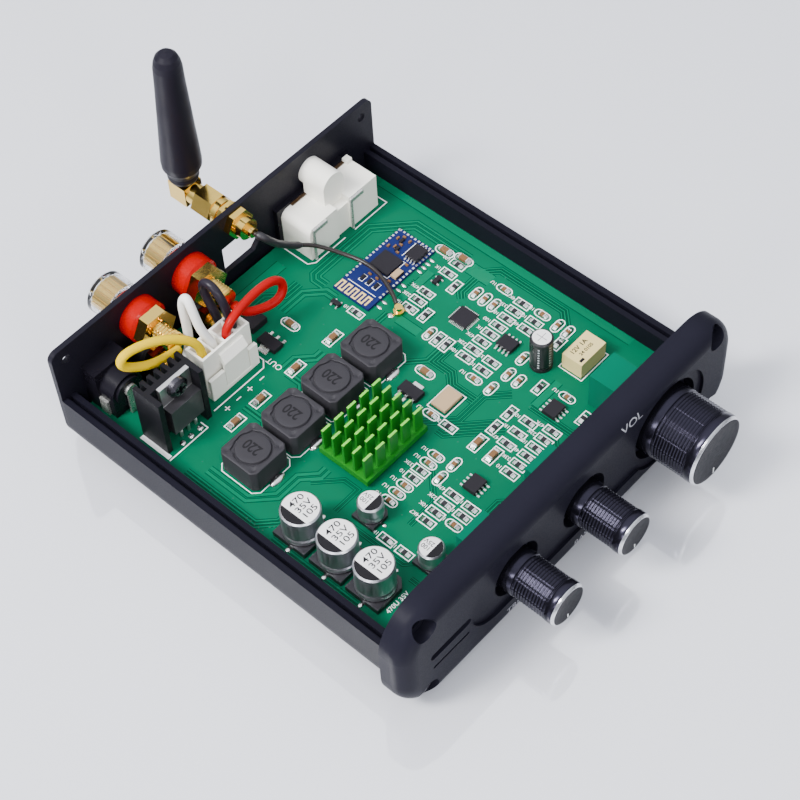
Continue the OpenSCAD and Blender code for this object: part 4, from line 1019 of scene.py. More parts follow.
def slopes(name, blocks, material):
    """Wedges: blocks whose top falls to a fifth of the height on the side given last."""
    points, faces = [], []
    for low, high, way in blocks:
        corners, sides = slab(low, high)
        middle = (np.array(low) + np.array(high)) / 2
        faces += [tuple(len(points) + i for i in side) for side in sides]
        for x, y, z in corners:
            outer = (x - middle[0]) * way[0] + (y - middle[1]) * way[1] > 0
            points.append((x, y, low[2] + (z - low[2]) * (0.2 if outer else 1.0)))
    return new_piece(name, points, faces, material, smooth=False)


resistors, capacitors, ends, solder_blocks = [], [], [], []
add_parts(square_spots_y, True, SMALL, 0.5, 0.42, resistors)
add_parts(square_spots_x, False, SMALL, 0.5, 0.42, resistors)
add_parts(round_spots_y, True, SMALL, 0.7, 0.45, capacitors)
add_parts(round_spots_x, False, SMALL, 0.7, 0.45, capacitors)
add_parts(caps_along_y, True, LARGE, 1.18, 0.45, capacitors)
add_parts(caps_along_x, False, LARGE, 1.18, 0.45, capacitors)


def soften(piece, width, segments):
    """Rounds a piece's edges with a bevel that is applied as a modifier."""
    bevel = piece.modifiers.new("soft_edges", "BEVEL")
    bevel.width = width
    bevel.segments = segments
    bevel.limit_method = "ANGLE"
    return piece


resistor_bodies = slabs("resistor_bodies", resistors, resistor_black)
capacitor_bodies = soften(slabs("capacitor_bodies", capacitors, capacitor_tan), 0.00008, 1)
chip_ends = soften(slabs("chip_ends", ends, tin), 0.00008, 1)
chip_solder = soften(slopes("chip_solder", solder_blocks, solder), 0.00007, 1)
RESONATOR = (7.9, -15.3)
resonator = soften(slabs("resonator", [block(*RESONATOR, 7.2, 5.0, 0.3, 1.4)],
                         resonator_beige), 0.0003, 3)
resonator_base = slabs("resonator_base", [block(*RESONATOR, 7.0, 4.8, SEAT, 0.35)], chip_black)
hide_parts("chip_parts")
print("small blocks", len(resistors), len(capacitors), len(ends), len(solder_blocks))

# %% [markdown]
# White ink frames each small part and draws the outlines of the larger ones. It is
# printed on the lacquer, so it lies above the tracks.

# %% White print: frames round the parts
INK_HIGH = 0.06
PRINT_Z = mm(BOARD_MM + INK_HIGH)
LINE = 0.32
print_strips = [(outline(x, y, w, l), LINE, True) for outline, spots, w, l in (
    (frame_line, square_spots_y, 2.3, 4.7), (frame_line, square_spots_x, 4.7, 2.3),
    (round_line, round_spots_y, 2.3, 4.9), (round_line, round_spots_x, 4.9, 2.3),
    (round_line, caps_along_y, 2.8, 6.0), (frame_line, caps_along_x, 5.6, 2.7))
    for x, y in spots]
print_strips += [(frame_line(*RESONATOR, 8.4, 6.2), 0.3, True)]
print("frames", len(print_strips))

# %% White print: outlines of the connectors, coils and cans
COIL_LOW, COIL_HIGH = box_mm("inductors")
COIL_Y = (COIL_LOW[1] + COIL_HIGH[1]) / 2
COIL_HALF = (COIL_HIGH[1] - COIL_LOW[1]) / 2
COILS = [(x, COIL_Y) for x in (5.5, -9.5, -24.3, -38.9)]
PLUS_X, MINUS_X, SIGN_Y, SIGN_HALF = (-30.8, -22.4), (-26.6, -17.9), 27.0, 0.85
print_strips += [
    ([(-33.7, 29.1), (-15.1, 29.1), (-13.2, 31.0), (-13.2, 40.8)], 0.34, False),
    ([(-51.6, 37.8), (-51.6, 27.1)], 1.4, False),
    ([(-52.3, 26.55), (-38.5, 26.55), (-38.5, 29.2)], 0.36, False),
    ([(-55.5, 39.0), (-53.4, 36.6), (-53.4, 33.0)], 0.3, False),
    ([(18.7, 55.5), (18.7, 45.0), (20.6, 43.6), (32.6, 43.6)], 0.34, False),
    ([(36.5, 43.6), (49.7, 43.6), (49.7, 55.5)], 0.34, False),
    ([(35.6, -37.9), (47.0, -37.9), (47.0, -30.3), (35.6, -30.3)], 0.3, True)]
print_strips += [(cut_line(x, y, COIL_HALF + 0.55, 1.6), 0.26, True) for x, y in COILS]
print_strips += [([(x - SIGN_HALF, SIGN_Y), (x + SIGN_HALF, SIGN_Y)], 0.3, False)
                 for x in PLUS_X + MINUS_X]
print_strips += [([(x, SIGN_Y - SIGN_HALF), (x, SIGN_Y + SIGN_HALF)], 0.3, False)
                 for x in PLUS_X]
flat_layer("board_print", print_strips, PRINT_Z, print_white)

# %% Printed words on the board
SMALL_TYPE = 1.1


def lying_word(text, height, x, y):
    """A word that reads towards the back of the board, with its top to the left."""
    return (text, height, (x, y, BOARD_MM + INK_HIGH), (0, 1, 0), (-1, 0, 0))


values = ["10K", "22K", "47K", "1K", "100", "10", "33K", "4K7"]
words = [("470U 35V", 1.3, (-49.4, -46.7, BOARD_MM + INK_HIGH), (1, 0, 0), (0, 1, 0)),
         lying_word("OUT", 1.7, -11.6, 25.2)]
words += [lying_word(values[i % len(values)], SMALL_TYPE, x + 0.5, y + 2.7)
          for i, (x, y) in enumerate(square_spots_y)]
words += [lying_word("1U", SMALL_TYPE, x + 0.5, y + 2.8) for x, y in round_spots_y]
letters("board_words", words, print_white)

# %% [markdown]
# ### Copper tracks
# Under the lacquer a track shows as a lighter path with a dark hair line on each
# side, where the copper ends. The tracks run in straight lines and 45 degree
# bends. Bundles are made by shifting one route sideways, and a few wide strips
# are fills of copper.

# %% Tracks side by side
def beside(points, shift):
    """The line that runs beside another at a distance of shift, to its left."""
    p = np.asarray(points, float)
    way = np.diff(p, axis=0)
    way /= np.linalg.norm(way, axis=1)[:, None]
    before, after = np.vstack([way[:1], way]), np.vstack([way, way[-1:]])
    middle = before + after
    middle /= np.linalg.norm(middle, axis=1)[:, None]
    normal = np.column_stack([-middle[:, 1], middle[:, 0]])
    return p + normal * (shift / (middle * after).sum(1))[:, None]


def bundle(route, count, gap, width=0.3):
    """The same route count times, side by side, gap apart."""
    return [(beside(route, i * gap), width, False) for i in range(count)]


# %% Where copper fills and tracks run
fills = [([(54.6, 50), (54.6, -40)], 3.0), ([(24, 17), (38.5, 17)], 2.4),
         ([(46.5, 9.8), (46.5, 2.2)], 4.0), ([(20.4, 5.3), (20.4, 13)], 2.8),
         ([(21.5, -33.7), (31.5, -33.7)], 2.2), ([(-9, 50.5), (14, 50.5)], 3.4),
         ([(-36, -52.8), (-12, -52.8)], 1.8), ([(-54.4, 18), (-54.4, -40)], 1.6)]
bundles = [
    ([(-1.5, -19.5), (-1.5, -22), (10, -33.5)], 6, 0.85),
    ([(-3.5, -14), (1, -18.5), (5, -22.5), (15, -22.5), (20, -27.5)], 3, 0.9),
    ([(21, -2), (15, -2), (8, 5), (8, 10), (14, 16), (20, 16)], 2, 1.0, 0.5),
    ([(14, -21), (14, -13.5), (17, -10.5), (17, -5.5), (24, -5.5)], 4, 0.8),
    ([(28, 6), (28, 9), (33, 14), (33, 19)], 4, 0.8),
    ([(36, 5), (38, 7), (48, 7), (52, 3), (52, -20), (48, -24)], 3, -0.9, 0.4),
    ([(-53, 21), (-53, -4), (-48, -9), (-38, -9)], 3, 0.95, 0.45),
    ([(-48.5, 17), (-48.5, 3), (-42.5, -3), (-35, -3), (-31, -7), (-28, -7)], 2, 1.6, 0.9),
    ([(-34, -6), (-28, -12), (-28, -16), (-36, -16)], 2, 0.9),
    ([(-12, 24), (-8, 24), (-4, 20), (-1, 20)], 2, 1.5, 0.9),
    ([(-28, 24), (-28, 17), (-31, 14)], 2, 1.2, 0.7),
    ([(-13, 23), (-13, 18), (-16, 15)], 2, 1.2, 0.7),
    ([(2, 38), (10, 38), (14, 34), (14, 31)], 2, 1.6, 0.9),
    ([(15, 36), (15, 40), (17, 42), (40, 42), (50, 32), (50, 12)], 3, -1.3, 0.6),
    ([(-6, 45), (2, 45), (6, 41), (12, 41)], 3, 1.1, 0.5),
    ([(-27, -33), (-18, -33), (-11, -26)], 2, -0.9),
    ([(-14, -47), (-8, -47), (-5, -50), (12, -50), (18, -44)], 3, 0.85),
    ([(20, -33), (20, -47), (24, -51), (29, -51)], 3, 0.8),
    ([(-39, -44), (-39, -49), (-37, -51), (-26, -51), (-23, -48)], 2, 0.9),
    ([(-37, -20), (-37, -40), (-34, -43)], 2, 0.9),
    ([(-53, -10), (-53, -40)], 2, 1.0, 0.5)]
tracks = [(route, width, False) for route, width in fills]
tracks += [strip for row in bundles for strip in bundle(*row)]

# %% Lay the tracks
TRACK_Z = mm(BOARD_MM + 0.004)
TRACK_HIGH = mm(0.02)
TRACK_RISE = mm(0.00025)
EDGE_WIDE = 0.21
edges = [(line, width + 2 * EDGE_WIDE, closed) for line, width, closed in tracks]
flat_layer("track_edges", edges, TRACK_Z, track_edge, rise=TRACK_RISE)
flat_layer("copper_tracks", tracks, TRACK_Z + TRACK_HIGH, track_green, rise=TRACK_RISE)

# %% [markdown]
# Small plated holes join the layers of the board. Each shows as a lighter ring with
# a dark middle, and at this size two flat discs are enough.

# %% Holes between the layers
HOLE_SIDES = 12
RING_R, HOLE_R = mm(0.36), mm(0.19)


def discs(name, spots, r, z, material):
    """Flat round spots on the board."""
    turn = np.linspace(0, 2 * np.pi, HOLE_SIDES, endpoint=False)
    ring = np.stack([np.cos(turn), np.sin(turn)], -1) * r
    points = mm(spots)[:, None, :] + ring[None]
    points = np.concatenate([points, np.full((*points.shape[:2], 1), z)], -1)
    faces = np.arange(len(spots) * HOLE_SIDES).reshape(-1, HOLE_SIDES)
    piece = new_piece(name, points, faces.tolist(), material, smooth=False)


hole_spots = [(-52, -0.9 - 1.4 * i) for i in range(5)]
hole_spots += [(-50.2 + 0.9 * i, -7.2 - 0.7 * i) for i in range(4)]
hole_spots += [(14.5, -9), (19.8, -13), (35, 4.5), (27, -12.3), (36, -20), (16.5, -26), (20.5, -33),
               (-1, -33), (-9, -33.5), (-26, -30), (12, 8), (17, 12), (24, 17.5), (35.5, 18.5),
               (10, 31), (6, 27), (-3, 27), (-19, 25.5), (-35, 25), (-47, 20), (-30, 0), (-20, -22),
               (48, 8), (50, 0), (36, 9.5), (-15, -21.5), (0, -26), (13, -46.5), (-12, -48),
               (8, 44), (14, 50), (2, 46), (-52, 12), (-50, 6)]
hole_dark = moulded("hole_dark", (0.004, 0.05, 0.03), 0.5)
discs("hole_rings", hole_spots, RING_R, mm(BOARD_MM + 0.045), track_green)
discs("board_holes", hole_spots, HOLE_R, mm(BOARD_MM + 0.05), hole_dark)
print("holes", len(hole_spots))

# %% [markdown]
# ### Legs and solder of the larger parts
# Chips stand on bent tinned legs. A gull-wing leg leaves the side of the chip,
# drops and ends in a flat foot. Each leg is a thin strip whose side view is a
# short line of points, and one function makes a whole row.

# %% Legs
def leg_row(chip, starts, reach, width, top, foot=0.34, thick=0.2):
    """Bent strips from the front edge of a chip; each start is (x, y) in its own frame.

    chip is (x, y, turn in degrees). Seen from the side a leg's upper line goes
    level, down in a slope and level again on its foot; the lower line follows it
    down to the board.
    """
    x, y, turn = chip
    c, s = math.cos(math.radians(turn)), math.sin(math.radians(turn))
    out = np.array([-0.05, 0.22, 0.42, 1.0]) * [1, reach, reach, reach]
    upper = np.array([top, top, foot, foot])
    lower = np.array([top - thick, top - thick, 0, 0])
    points, faces = [], []
    for sx, sy in starts:
        n = len(points)
        for high in (upper, lower):
            for side in (-width / 2, width / 2):
                for o, z in zip(out, high):
                    across, along = sx + side, sy - o
                    points.append((x + c * across - s * along, y + s * across + c * along,
                                   BOARD_MM + z))
        for i in range(n, n + 3):
            faces += [(i, i + 1, i + 5, i + 4), (i + 8, i + 12, i + 13, i + 9),
                      (i, i + 8, i + 9, i + 1), (i + 4, i + 5, i + 13, i + 12)]
        faces.append((n + 3, n + 11, n + 15, n + 7))
    return mm(points), faces


def joined(name, groups, material, smooth=False):
    """One piece from several groups of points and faces."""
    points, faces, count = [], [], 0
    for group_points, group_faces in groups:
        points.append(group_points)
        faces += [tuple(count + i for i in face) for face in group_faces]
        count += len(group_points)
    piece = new_piece(name, np.vstack(points), faces, material, smooth=smooth)
    print(name, len(groups), "groups,", len(faces), "faces")
    return piece


def pins(count, pitch, front):
    """Places of pins side by side on a chip's front edge."""
    return [((i - (count - 1) / 2) * pitch, -front) for i in range(count)]


SMALL_OUTLINE = (4, 1.27, 1.95)
leg_groups = [leg_row((x, y, turn + half_turn), pins(*SMALL_OUTLINE), 1.25, 0.5, 0.8)
              for x, y, turn in ((32.3, -15.6, 90), (23.4, -38.6, 0), (-7.6, -38.2, 0))
              for half_turn in (0, 180)]
leg_groups += [leg_row((31.8, -0.6, quarter), pins(10, 0.5, 2.75), 0.75, 0.26, 0.45, 0.14, 0.12)
               for quarter in (0, 90, 180, 270)]
for x, y, turn in ((-8.3, 33.2, 90), (3.9, -6.4, -90)):
    leg_groups.append(leg_row((x, y, turn), pins(3, 2.3, 1.75), 1.75, 0.78, 0.95))
    leg_groups.append(leg_row((x, y, turn + 180), pins(1, 0, 1.75), 1.75, 3.1, 0.9, 0.42, 0.3))
leg_groups += [leg_row((x, y, turn + half_turn), pins(2, 1.9, 0.65), 0.7, 0.46, 0.6)
               for x, y, turn in ((37, 13.5, 0), (13.3, 29.2, -90))
               for half_turn in (0, 180)]
joined("chip_legs", leg_groups, tin)

# %% [markdown]
# Solder wets a pad and pulls itself into a low dome. The coils, the cans and the
# regulator's leads stand in such domes.

# %% Solder mounds
MOUND_RINGS, MOUND_SIDES = 4, 16


def mound(x, y, half_x, half_y, high):
    """A low dome on the board.

    A ring at the angle u from the top lies sin(u) out and cos(u) up, so the dome
    is a flattened half ball.
    """
    u = np.linspace(0, np.pi / 2, MOUND_RINGS + 1)[1:, None]
    turn = np.linspace(0, 2 * np.pi, MOUND_SIDES, endpoint=False)
    px = x + half_x * np.sin(u) * np.cos(turn)
    py = y + half_y * np.sin(u) * np.sin(turn)
    pz = BOARD_MM + high * np.cos(u) + 0 * px
    points = np.vstack([[x, y, BOARD_MM + high], np.stack([px, py, pz], -1).reshape(-1, 3)])
    fan = [(0, 1 + s, 1 + (s + 1) % MOUND_SIDES) for s in range(MOUND_SIDES)]
    return mm(points), fan + ring_faces(MOUND_RINGS, MOUND_SIDES, 1)[:, ::-1].tolist()


SMALL_CANS = ((-31.2, -24.4), (-31.6, -45))
pads = [(x, *shape) for shape in ((1.3, 2.6, 1.3, 0.9), (16.1, 2.4, 1.2, 0.7))
        for x in (5.3, -9.3, -23.9, -38.6)]
pads += [(x, y, 1.0, 0.7, 0.4) for y in (-15.3, -27.6, -39.8) for x in (-52.0, -39.4)]
pads += [(x, y + side * 4.3, 0.5, 0.8, 0.35) for x, y in SMALL_CANS for side in (-1, 1)]
pads += [(x, 28.0, 0.9, 0.9, 0.5) for x in (-39.9, -43.2, -46.2)]
pads += [(24.4, 13.2, 0.9, 1.2, 0.5), (19.9, 15.2, 0.9, 1.0, 0.4)]
pads += [(x, 19.7, 0.45, 1.1, 0.25) for x in (20, 22.2, 25.5, 27.8, 30, 36.5, 38.3, 40, 41.7)]
joined("solder_mounds", [mound(*pad) for pad in pads], solder, smooth=True)

# %% [markdown]
# ### Coils, cans and the rest of the board
# A shielded coil is a ferrite block with cut corners. A round core sits in it
# behind a groove, and a number is printed on the core. The block is one surface of
# rings that go from the middle of its top over the groove and down its sides. In
# each direction the outline is the nearer of a straight side and a cut corner.

# %% Coils
COIL_HIGH_MM = COIL_HIGH[2] - BOARD_MM
COIL_SIDES = 144
CORNER_CUT = 0.92
CORE_R, GROOVE_R, RIM_R = 4.82, 5.3, 5.48
CORNER_DIP = 0.5


def coil_skin(x, y):
    """Rings of points from the middle of the top, over the groove, down the sides.

    In the direction a the side lies half / max(|cos a|, |sin a|) away, or where the
    cut corner is nearer. The corners of the top dip by a bell curve of the angle.
    """
    top = COIL_HIGH_MM
    turn = np.linspace(0, 2 * np.pi, COIL_SIDES, endpoint=False)
    square = COIL_HALF / np.maximum(np.abs(np.cos(turn)), np.abs(np.sin(turn)))
    to_corner = COIL_HALF * math.sqrt(2) - CORNER_CUT
    corner = to_corner / np.abs(np.cos(turn % (np.pi / 2) - np.pi / 4))
    rim = np.minimum(square, corner)
    diagonal = np.exp(-((turn % (np.pi / 2) - np.pi / 4) / 0.12) ** 2)
    wobble = 0.07 * np.sin(7 * turn + x) + 0.05 * np.sin(13 * turn + y)
    start = RIM_R + 0.45 * diagonal
    rows = [(r + 0 * turn, top - down) for r, down in
            ((0.02, 0.25), (3.0, 0.25), (4.5, 0.25), (4.62, 0.3), (4.74, 0.5))]
    rows += [(CORE_R + wobble, top - 0.9), (GROOVE_R + wobble + 0.45 * diagonal, top - 0.9),
             (5.36 + wobble + 0.45 * diagonal, top - 0.5), (start + wobble, top - 0.42)]
    rows += [(start + (rim - 0.35 - start) * share,
              top - 0.42 - CORNER_DIP * diagonal * (1 - abs(share - 0.4) * 1.6))
             for share in (0.4, 0.75)]
    rows += [(rim - inset, z) for inset, z in
             ((0.35, top - 0.44), (0.1, top - 0.56), (0.0, top - 0.85), (0.0, 0.45),
              (0.25, 0.2), (0.25, 0.0))]
    rings = [np.column_stack([x + r * np.cos(turn), y + r * np.sin(turn), BOARD_MM + z + 0 * turn])
             for r, z in rows]
    last = (len(rings) - 1) * COIL_SIDES
    lids = [tuple(range(COIL_SIDES)), tuple(range(last, last + COIL_SIDES))[::-1]]
    return mm(np.vstack(rings)), ring_faces(len(rings), COIL_SIDES)[:, ::-1].tolist() + lids


SHARP_FROM = math.radians(35)
INK_ON_CORE = -0.235
coils = joined("coils", [coil_skin(x, y) for x, y in COILS], ferrite, smooth=True)
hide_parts("inductors")
coils.data.shade_smooth()
coils.data.set_sharp_from_angle(angle=SHARP_FROM)
ink_dark = moulded("ink_dark", (0.008, 0.007, 0.009), 0.55, shine=0.2)
coil_words = [("220", 3.0, (x + 1.4, y - 2.4, COIL_HIGH[2] + INK_ON_CORE), (0, 0.8, 0), (-1, 0, 0))
              for x, y in COILS]
letters("coil_numbers", coil_words, ink_dark, bold=0.035)

# %% [markdown]
# ### Can capacitors
# Aluminium cans stand on black bases. The print on top is a dark segment on the
# side of the minus lead, and the value. Base and can are one solid, so the finish
# itself changes from plastic to metal at the height of the base.

# %% Cans
LARGE_BASE, SMALL_BASE = 1.82, 1.32


def can_finish(name, split):
    """Black plastic below the height split, brushed aluminium above it."""
    material, tree, shader = new_finish(name)
    is_can = mathematics(tree, "GREATER_THAN", axes_of(tree, place_of(tree))["Z"], split)
    fine = mottle(tree, place_of(tree, (1, 1, 0.1)), 1600.0)
    silver = blend_of(tree, fine, (0.46, 0.46, 0.50), (0.60, 0.60, 0.64))
    tree.links.new(blend_of(tree, is_can, (0.012, 0.011, 0.014), silver), shader.inputs["Base Color"])
    tree.links.new(is_can, shader.inputs["Metallic"])
    tree.links.new(between(tree, fine, 0.32, 0.44), shader.inputs["Roughness"])
    return material


give(can_finish("large_can", mm(BOARD_MM + LARGE_BASE)), "large_capacitors")
give(can_finish("small_can", mm(BOARD_MM + SMALL_BASE)), "small_capacitors")
can_top = metal("can_top", (0.92, 0.89, 0.88), 0.42, 0.97, 900.0, metallic=0.2)


# %% What is printed on the cans
def segment(x, y, r, side, chord, z, steps=24):
    """The part of a disc beyond a chord, seen in the direction side (degrees)."""
    half = math.acos(chord / r)
    a = np.linspace(-half, half, steps) + math.radians(side)
    ring = np.column_stack([x + r * np.cos(a), y + r * np.sin(a), np.full(steps, z)])
    return mm(ring), [tuple(range(steps))]


def disc(x, y, r, z, steps=48):
    """A flat round lid, which is a segment whose chord lies at its far edge."""
    return segment(x, y, r, 0, 0.01 - r, z, steps)


LARGE_CANS = [(-45.9, y) for y in (-14.9, -27.2, -39.4)]
LARGE_TOP, SMALL_TOP = box_mm("large_capacitors")[1][2], box_mm("small_capacitors")[1][2]
LID, SHADE, WORD = 0.01, 0.02, 0.03
lids = [disc(x, y, 4.85, LARGE_TOP + LID) for x, y in LARGE_CANS]
lids += [disc(x, y, 3.0, SMALL_TOP + LID) for x, y in SMALL_CANS]
joined("can_lids", lids, can_top)
segments = [segment(x, y, 4.83, 180, 2.3, LARGE_TOP + SHADE) for x, y in LARGE_CANS]
segments += [segment(x, y, 2.98, 270, 0.6, SMALL_TOP + SHADE) for x, y in SMALL_CANS]
joined("can_segments", segments, ink_dark)
can_words = [(text, 1.7, (x + start, y + 1.45 - 2.35 * line, LARGE_TOP + WORD),
              (1.3, 0, 0), (0, 1, 0))
             for x, y in LARGE_CANS
             for line, (text, start) in enumerate((("470", -1.45), ("35V", -1.5), ("105", -1.5)))]
can_words += [(text, 1.2, (x - 0.25 + 1.6 * line, y - 0.2, SMALL_TOP + WORD),
               (0, 1.05, 0), (-1, 0, 0))
              for x, y in SMALL_CANS
              for line, text in enumerate(("100", "25V"))]
letters("can_numbers", can_words, ink_dark, bold=0.012)

# %% What is printed on the relay
RELAY_TOP = box_mm("relay")[1][2]
RELAY_INK = RELAY_TOP + 0.02
letters("relay_words", [
    ("12V 1A", 1.3, (37.6, -33.3, RELAY_INK), (1.1, 0, 0), (0, 1, 0)),
    ("24 0105", 1.0, (38.8, -35.2, RELAY_INK), (1.1, 0, 0), (0, 1, 0))],
    ink_dark, bold=0.03)
relay_bar = slabs("relay_bar", [(mm((37.0, -36.6, RELAY_TOP)), mm((38.6, -35.8, RELAY_INK)))],
                  ink_dark)

# %% [markdown]
# One capacitor stands upright in a black shrink sleeve. Its marks run up the
# sleeve, and each is a patch bent to the sleeve's radius. Its bare top has the
# cross that lets it open safely.

# %% The upright capacitor: sleeve, print and cross on its top
def around(x, y, r, z0, z1, centre, width, steps=5):
    """A patch on a round post from the height z0 to z1, centred on an angle."""
    a = np.radians(np.linspace(centre - width / 2, centre + width / 2, steps))
    low = np.column_stack([x + r * np.cos(a), y + r * np.sin(a), np.full(steps, z0)])
    high = low + (0, 0, z1 - z0)
    faces = [(i, i + 1, steps + i + 1, steps + i) for i in range(steps - 1)]
    return mm(np.vstack([low, high])), faces


POST_LOW, POST_HIGH = box_mm("radial_capacitor")
POST_X, POST_Y = np.round((POST_LOW[:2] + POST_HIGH[:2]) / 2, 3)
POST_R = (POST_HIGH[0] - POST_LOW[0]) / 2
PRINT_R, CROSS_HALF = POST_R + 0.015, 1.7
MARKS, MARK_START, MARK_STEP = 8, 2.0, 1.05
# Each mark's start and end above its step, and its middle and width in degrees
MARK_SHAPES = ((0.0, 0.5, 205, 9), (0.15, 0.7, 262, 4), (0.05, 0.35, 270, 5))
stripe_grey = moulded("stripe_grey", (0.62, 0.63, 0.66), 0.4)
patches = [around(POST_X, POST_Y, PRINT_R, z + start, z + end, middle, width)
           for z in BOARD_MM + MARK_START + MARK_STEP * np.arange(MARKS)
           for start, end, middle, width in MARK_SHAPES]
joined("sleeve_print", patches, stripe_grey)
joined("post_top", [disc(POST_X, POST_Y, 2.55, POST_HIGH[2] + LID, 40)], can_top)
cross = [([(POST_X - CROSS_HALF, POST_Y), (POST_X + CROSS_HALF, POST_Y)], 0.14, False),
         ([(POST_X, POST_Y - CROSS_HALF), (POST_X, POST_Y + CROSS_HALF)], 0.14, False)]
flat_layer("post_cross", cross, mm(POST_HIGH[2] + SHADE), ink_dark)

# %% [markdown]
# ### The radio board
# The small blue board carries a printed aerial, a gold zig-zag at its left end,
# contact pads along its edges, a square chip, a crystal and a memory chip.

# %% The radio board's aerial, pads and print
RADIO_MM = box_mm("radio_module")[1][2]
AERIAL_BACK, AERIAL_TURNS, AERIAL_STEP = 33.3, 5, 2.4
PAD_STEP, PAD_SIZE, PAD_HIGH = 1.35, (0.65, 0.6), 0.03
print_gold = metal("print_gold", (0.95, 0.68, 0.26), 0.35, 0.92, metallic=0.3)
zigzag = [(17.3, AERIAL_BACK)]
for y in AERIAL_BACK - AERIAL_STEP * np.arange(AERIAL_TURNS):
    zigzag += [(20.4, y), (20.4, y - 1.2), (17.5, y - 1.2), (17.5, y - AERIAL_STEP)]
flat_layer("radio_aerial", [(zigzag[:-1], 0.55, False)], mm(RADIO_MM + 0.03), print_gold)
along, deep = PAD_SIZE
pad_corners = [(x, y, along, deep) for y in (20.85, 33.15) for x in np.arange(22, 44, PAD_STEP)]
pad_corners += [(43.75, y, deep, along) for y in np.arange(22, 33, PAD_STEP)]
radio_pads = slabs("radio_pads", [(mm((x, y, RADIO_MM)), mm((x + a, y + b, RADIO_MM + PAD_HIGH)))
                                  for x, y, a, b in pad_corners], tin)
radio_print = [(frame_line(32.2, 27.9, 7.4, 7.4), 0.2, True),
               ([(21.6, 22.2), (21.6, 32.4)], 0.2, False),
               ([(37.2, 26.6), (43.2, 26.6)], 0.2, False)]
radio_print += [(frame_line(24.5, y, 2.4, 1.3), 0.16, True) for y in (24.5, 27, 29.5)]
flat_layer("radio_print", radio_print, mm(RADIO_MM + 0.02), print_white)

# %% The parts on the radio board
lift = mm((0, 0, RADIO_MM - BOARD_MM))
radio_legs = []
for turn in (90, 270):
    points, faces = leg_row((40, 23.6, turn), pins(4, 1.0, 2.5), 1.0, 0.42, 0.7, 0.16, 0.15)
    radio_legs.append((points + lift, faces))
joined("radio_legs", radio_legs, tin)
tiny = [(37.2, 28.2, True), (38.4, 30.2, False), (39.9, 29.3, True), (41.2, 31.6, False),
        (42.6, 30.4, True), (37.4, 31.8, False), (35.4, 23.2, True), (28.0, 23.0, True),
        (26.6, 26.2, True), (26.6, 28.8, True), (42.3, 28.1, False), (28.6, 32.6, False)]
tiny_parts = slabs("radio_tiny_parts", [lying(x, y, 1.0, 0.55, 1.3, turned) for x, y, turned in tiny],
                   capacitor_tan)
crystal_lid = soften(slabs("crystal_lid", [block(31.1, 22.9, 3.4, 2.0, 0.9, 1.85)],
                           resonator_beige), 0.00015, 2)
print("radio board", len(pad_corners), "pads,", len(tiny), "tiny parts")

# %% [markdown]
# ### Regulator and heatsinks
# The regulator is one solid of black epoxy, metal tab and leads, so its finish
# changes from one to the other at the tab's face and below the body. The green
# heatsink's fin tops are painted paler than its sides, as painted light from above.

# %% Regulator, its tab and leads
TAB_FACE = mm(box_mm("regulator")[1][1] - 1.35)
BODY_BOTTOM = mm(BOARD_MM + 4.19)


def regulator_finish():
    """Black epoxy, with bare tinned metal for the tab behind it and the leads below."""
    material, tree, shader = new_finish("regulator_epoxy")
    where = place_of(tree)
    parts = axes_of(tree, where)
    bare = mathematics(tree, "MAXIMUM", mathematics(tree, "GREATER_THAN", parts["Y"], TAB_FACE),
                       mathematics(tree, "LESS_THAN", parts["Z"], BODY_BOTTOM))
    fine = mottle(tree, where, 1400.0)
    epoxy = blend_of(tree, fine, (0.026, 0.024, 0.028), (0.036, 0.034, 0.038))
    tree.links.new(blend_of(tree, bare, epoxy, (0.74, 0.73, 0.72)), shader.inputs["Base Color"])
    tree.links.new(bare, shader.inputs["Metallic"])
    tree.links.new(between(tree, fine, 0.30, 0.44), shader.inputs["Roughness"])
    return material


give(regulator_finish(), "regulator")
print("regulator tab from", round(TAB_FACE * 1000, 2), "mm back")

# %% The green heatsink
FIN_TOP = mm(box_mm("green_heatsink")[1][2] - 0.02)


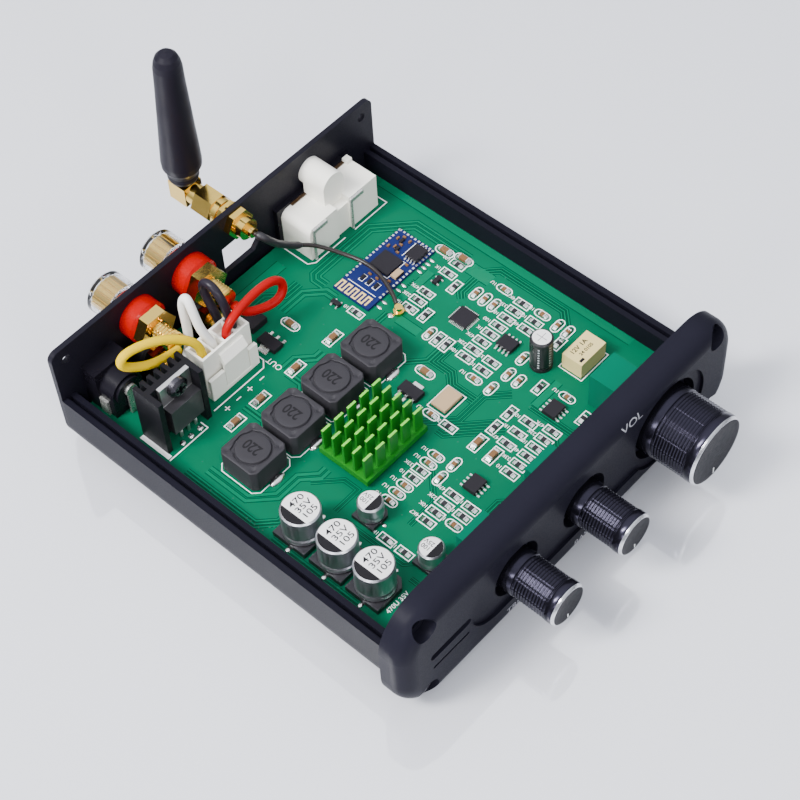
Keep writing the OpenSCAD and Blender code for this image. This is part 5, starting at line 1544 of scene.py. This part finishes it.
def fin_finish():
    """Green anodising, with the fin tops painted paler as painted light from above."""
    material, tree, shader = new_finish("sink_green")
    painted_lit_top = mathematics(tree, "GREATER_THAN", axes_of(tree, place_of(tree))["Z"], FIN_TOP)
    fine = mottle(tree, place_of(tree, (1, 1, 0.2)), 1200.0)
    side = blend_of(tree, fine, (0.006, 0.135, 0.008), (0.010, 0.19, 0.012))
    # The fin tops get a much paler green as painted light; the sides keep the darker green.
    tree.links.new(blend_of(tree, painted_lit_top, side, (0.16, 0.55, 0.05)), shader.inputs["Base Color"])
    tree.links.new(between(tree, fine, 0.28, 0.42), shader.inputs["Roughness"])
    shader.inputs["Specular IOR Level"].default_value = 0.2
    return material


give(fin_finish(), "green_heatsink")
print("fins pale above", round(FIN_TOP * 1000, 2), "mm")

# %% [markdown]
# ### Contacts
# The phono sockets' contacts are bent tinned strips in front of the white housing.
# Rounded edges catch the light, so they are blocks with a bevel. Two thin brown
# plates lie on the housing beside its boss.

# %% Phono contacts and plates
contact_tin = metal("contact_tin", (0.66, 0.65, 0.62), 0.30, 0.92, metallic=0.75)
plate_brown = moulded("plate_brown", (0.055, 0.030, 0.014), 0.28)
give(contact_tin, "jack_contacts")
STRIP_FRONT, STRIP_BACK, STRIP_LOW, STRIP_HIGH = 43.95, 44.95, 23.2, 24.75
LEG_BACK, LEG_WIDE, LEG_TOP = 44.6, 0.9, 24.0
PLATE_FRONT, PLATE_BACK, PLATE_LOW, PLATE_HIGH = 54.8, 56.9, 24.5, 25.0
bars = []
for left, right in ((21.2, 27.0), (36.2, 41.5)):
    bars.append((mm((left, STRIP_FRONT, STRIP_LOW)), mm((right, STRIP_BACK, STRIP_HIGH))))
    bars.append((mm((left, STRIP_FRONT, BOARD_MM)), mm((left + LEG_WIDE, LEG_BACK, LEG_TOP))))
phono_contacts = soften(slabs("phono_contacts", bars, contact_tin), 0.0003, 3)
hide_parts("rca_contacts")
plates = [(mm((left, PLATE_FRONT, PLATE_LOW)), mm((right, PLATE_BACK, PLATE_HIGH)))
          for left, right in ((24.4, 30.2), (41.0, 46.6))]
contact_plates = slabs("contact_plates", plates, plate_brown)
print("contacts", len(bars), "plates", len(plates))
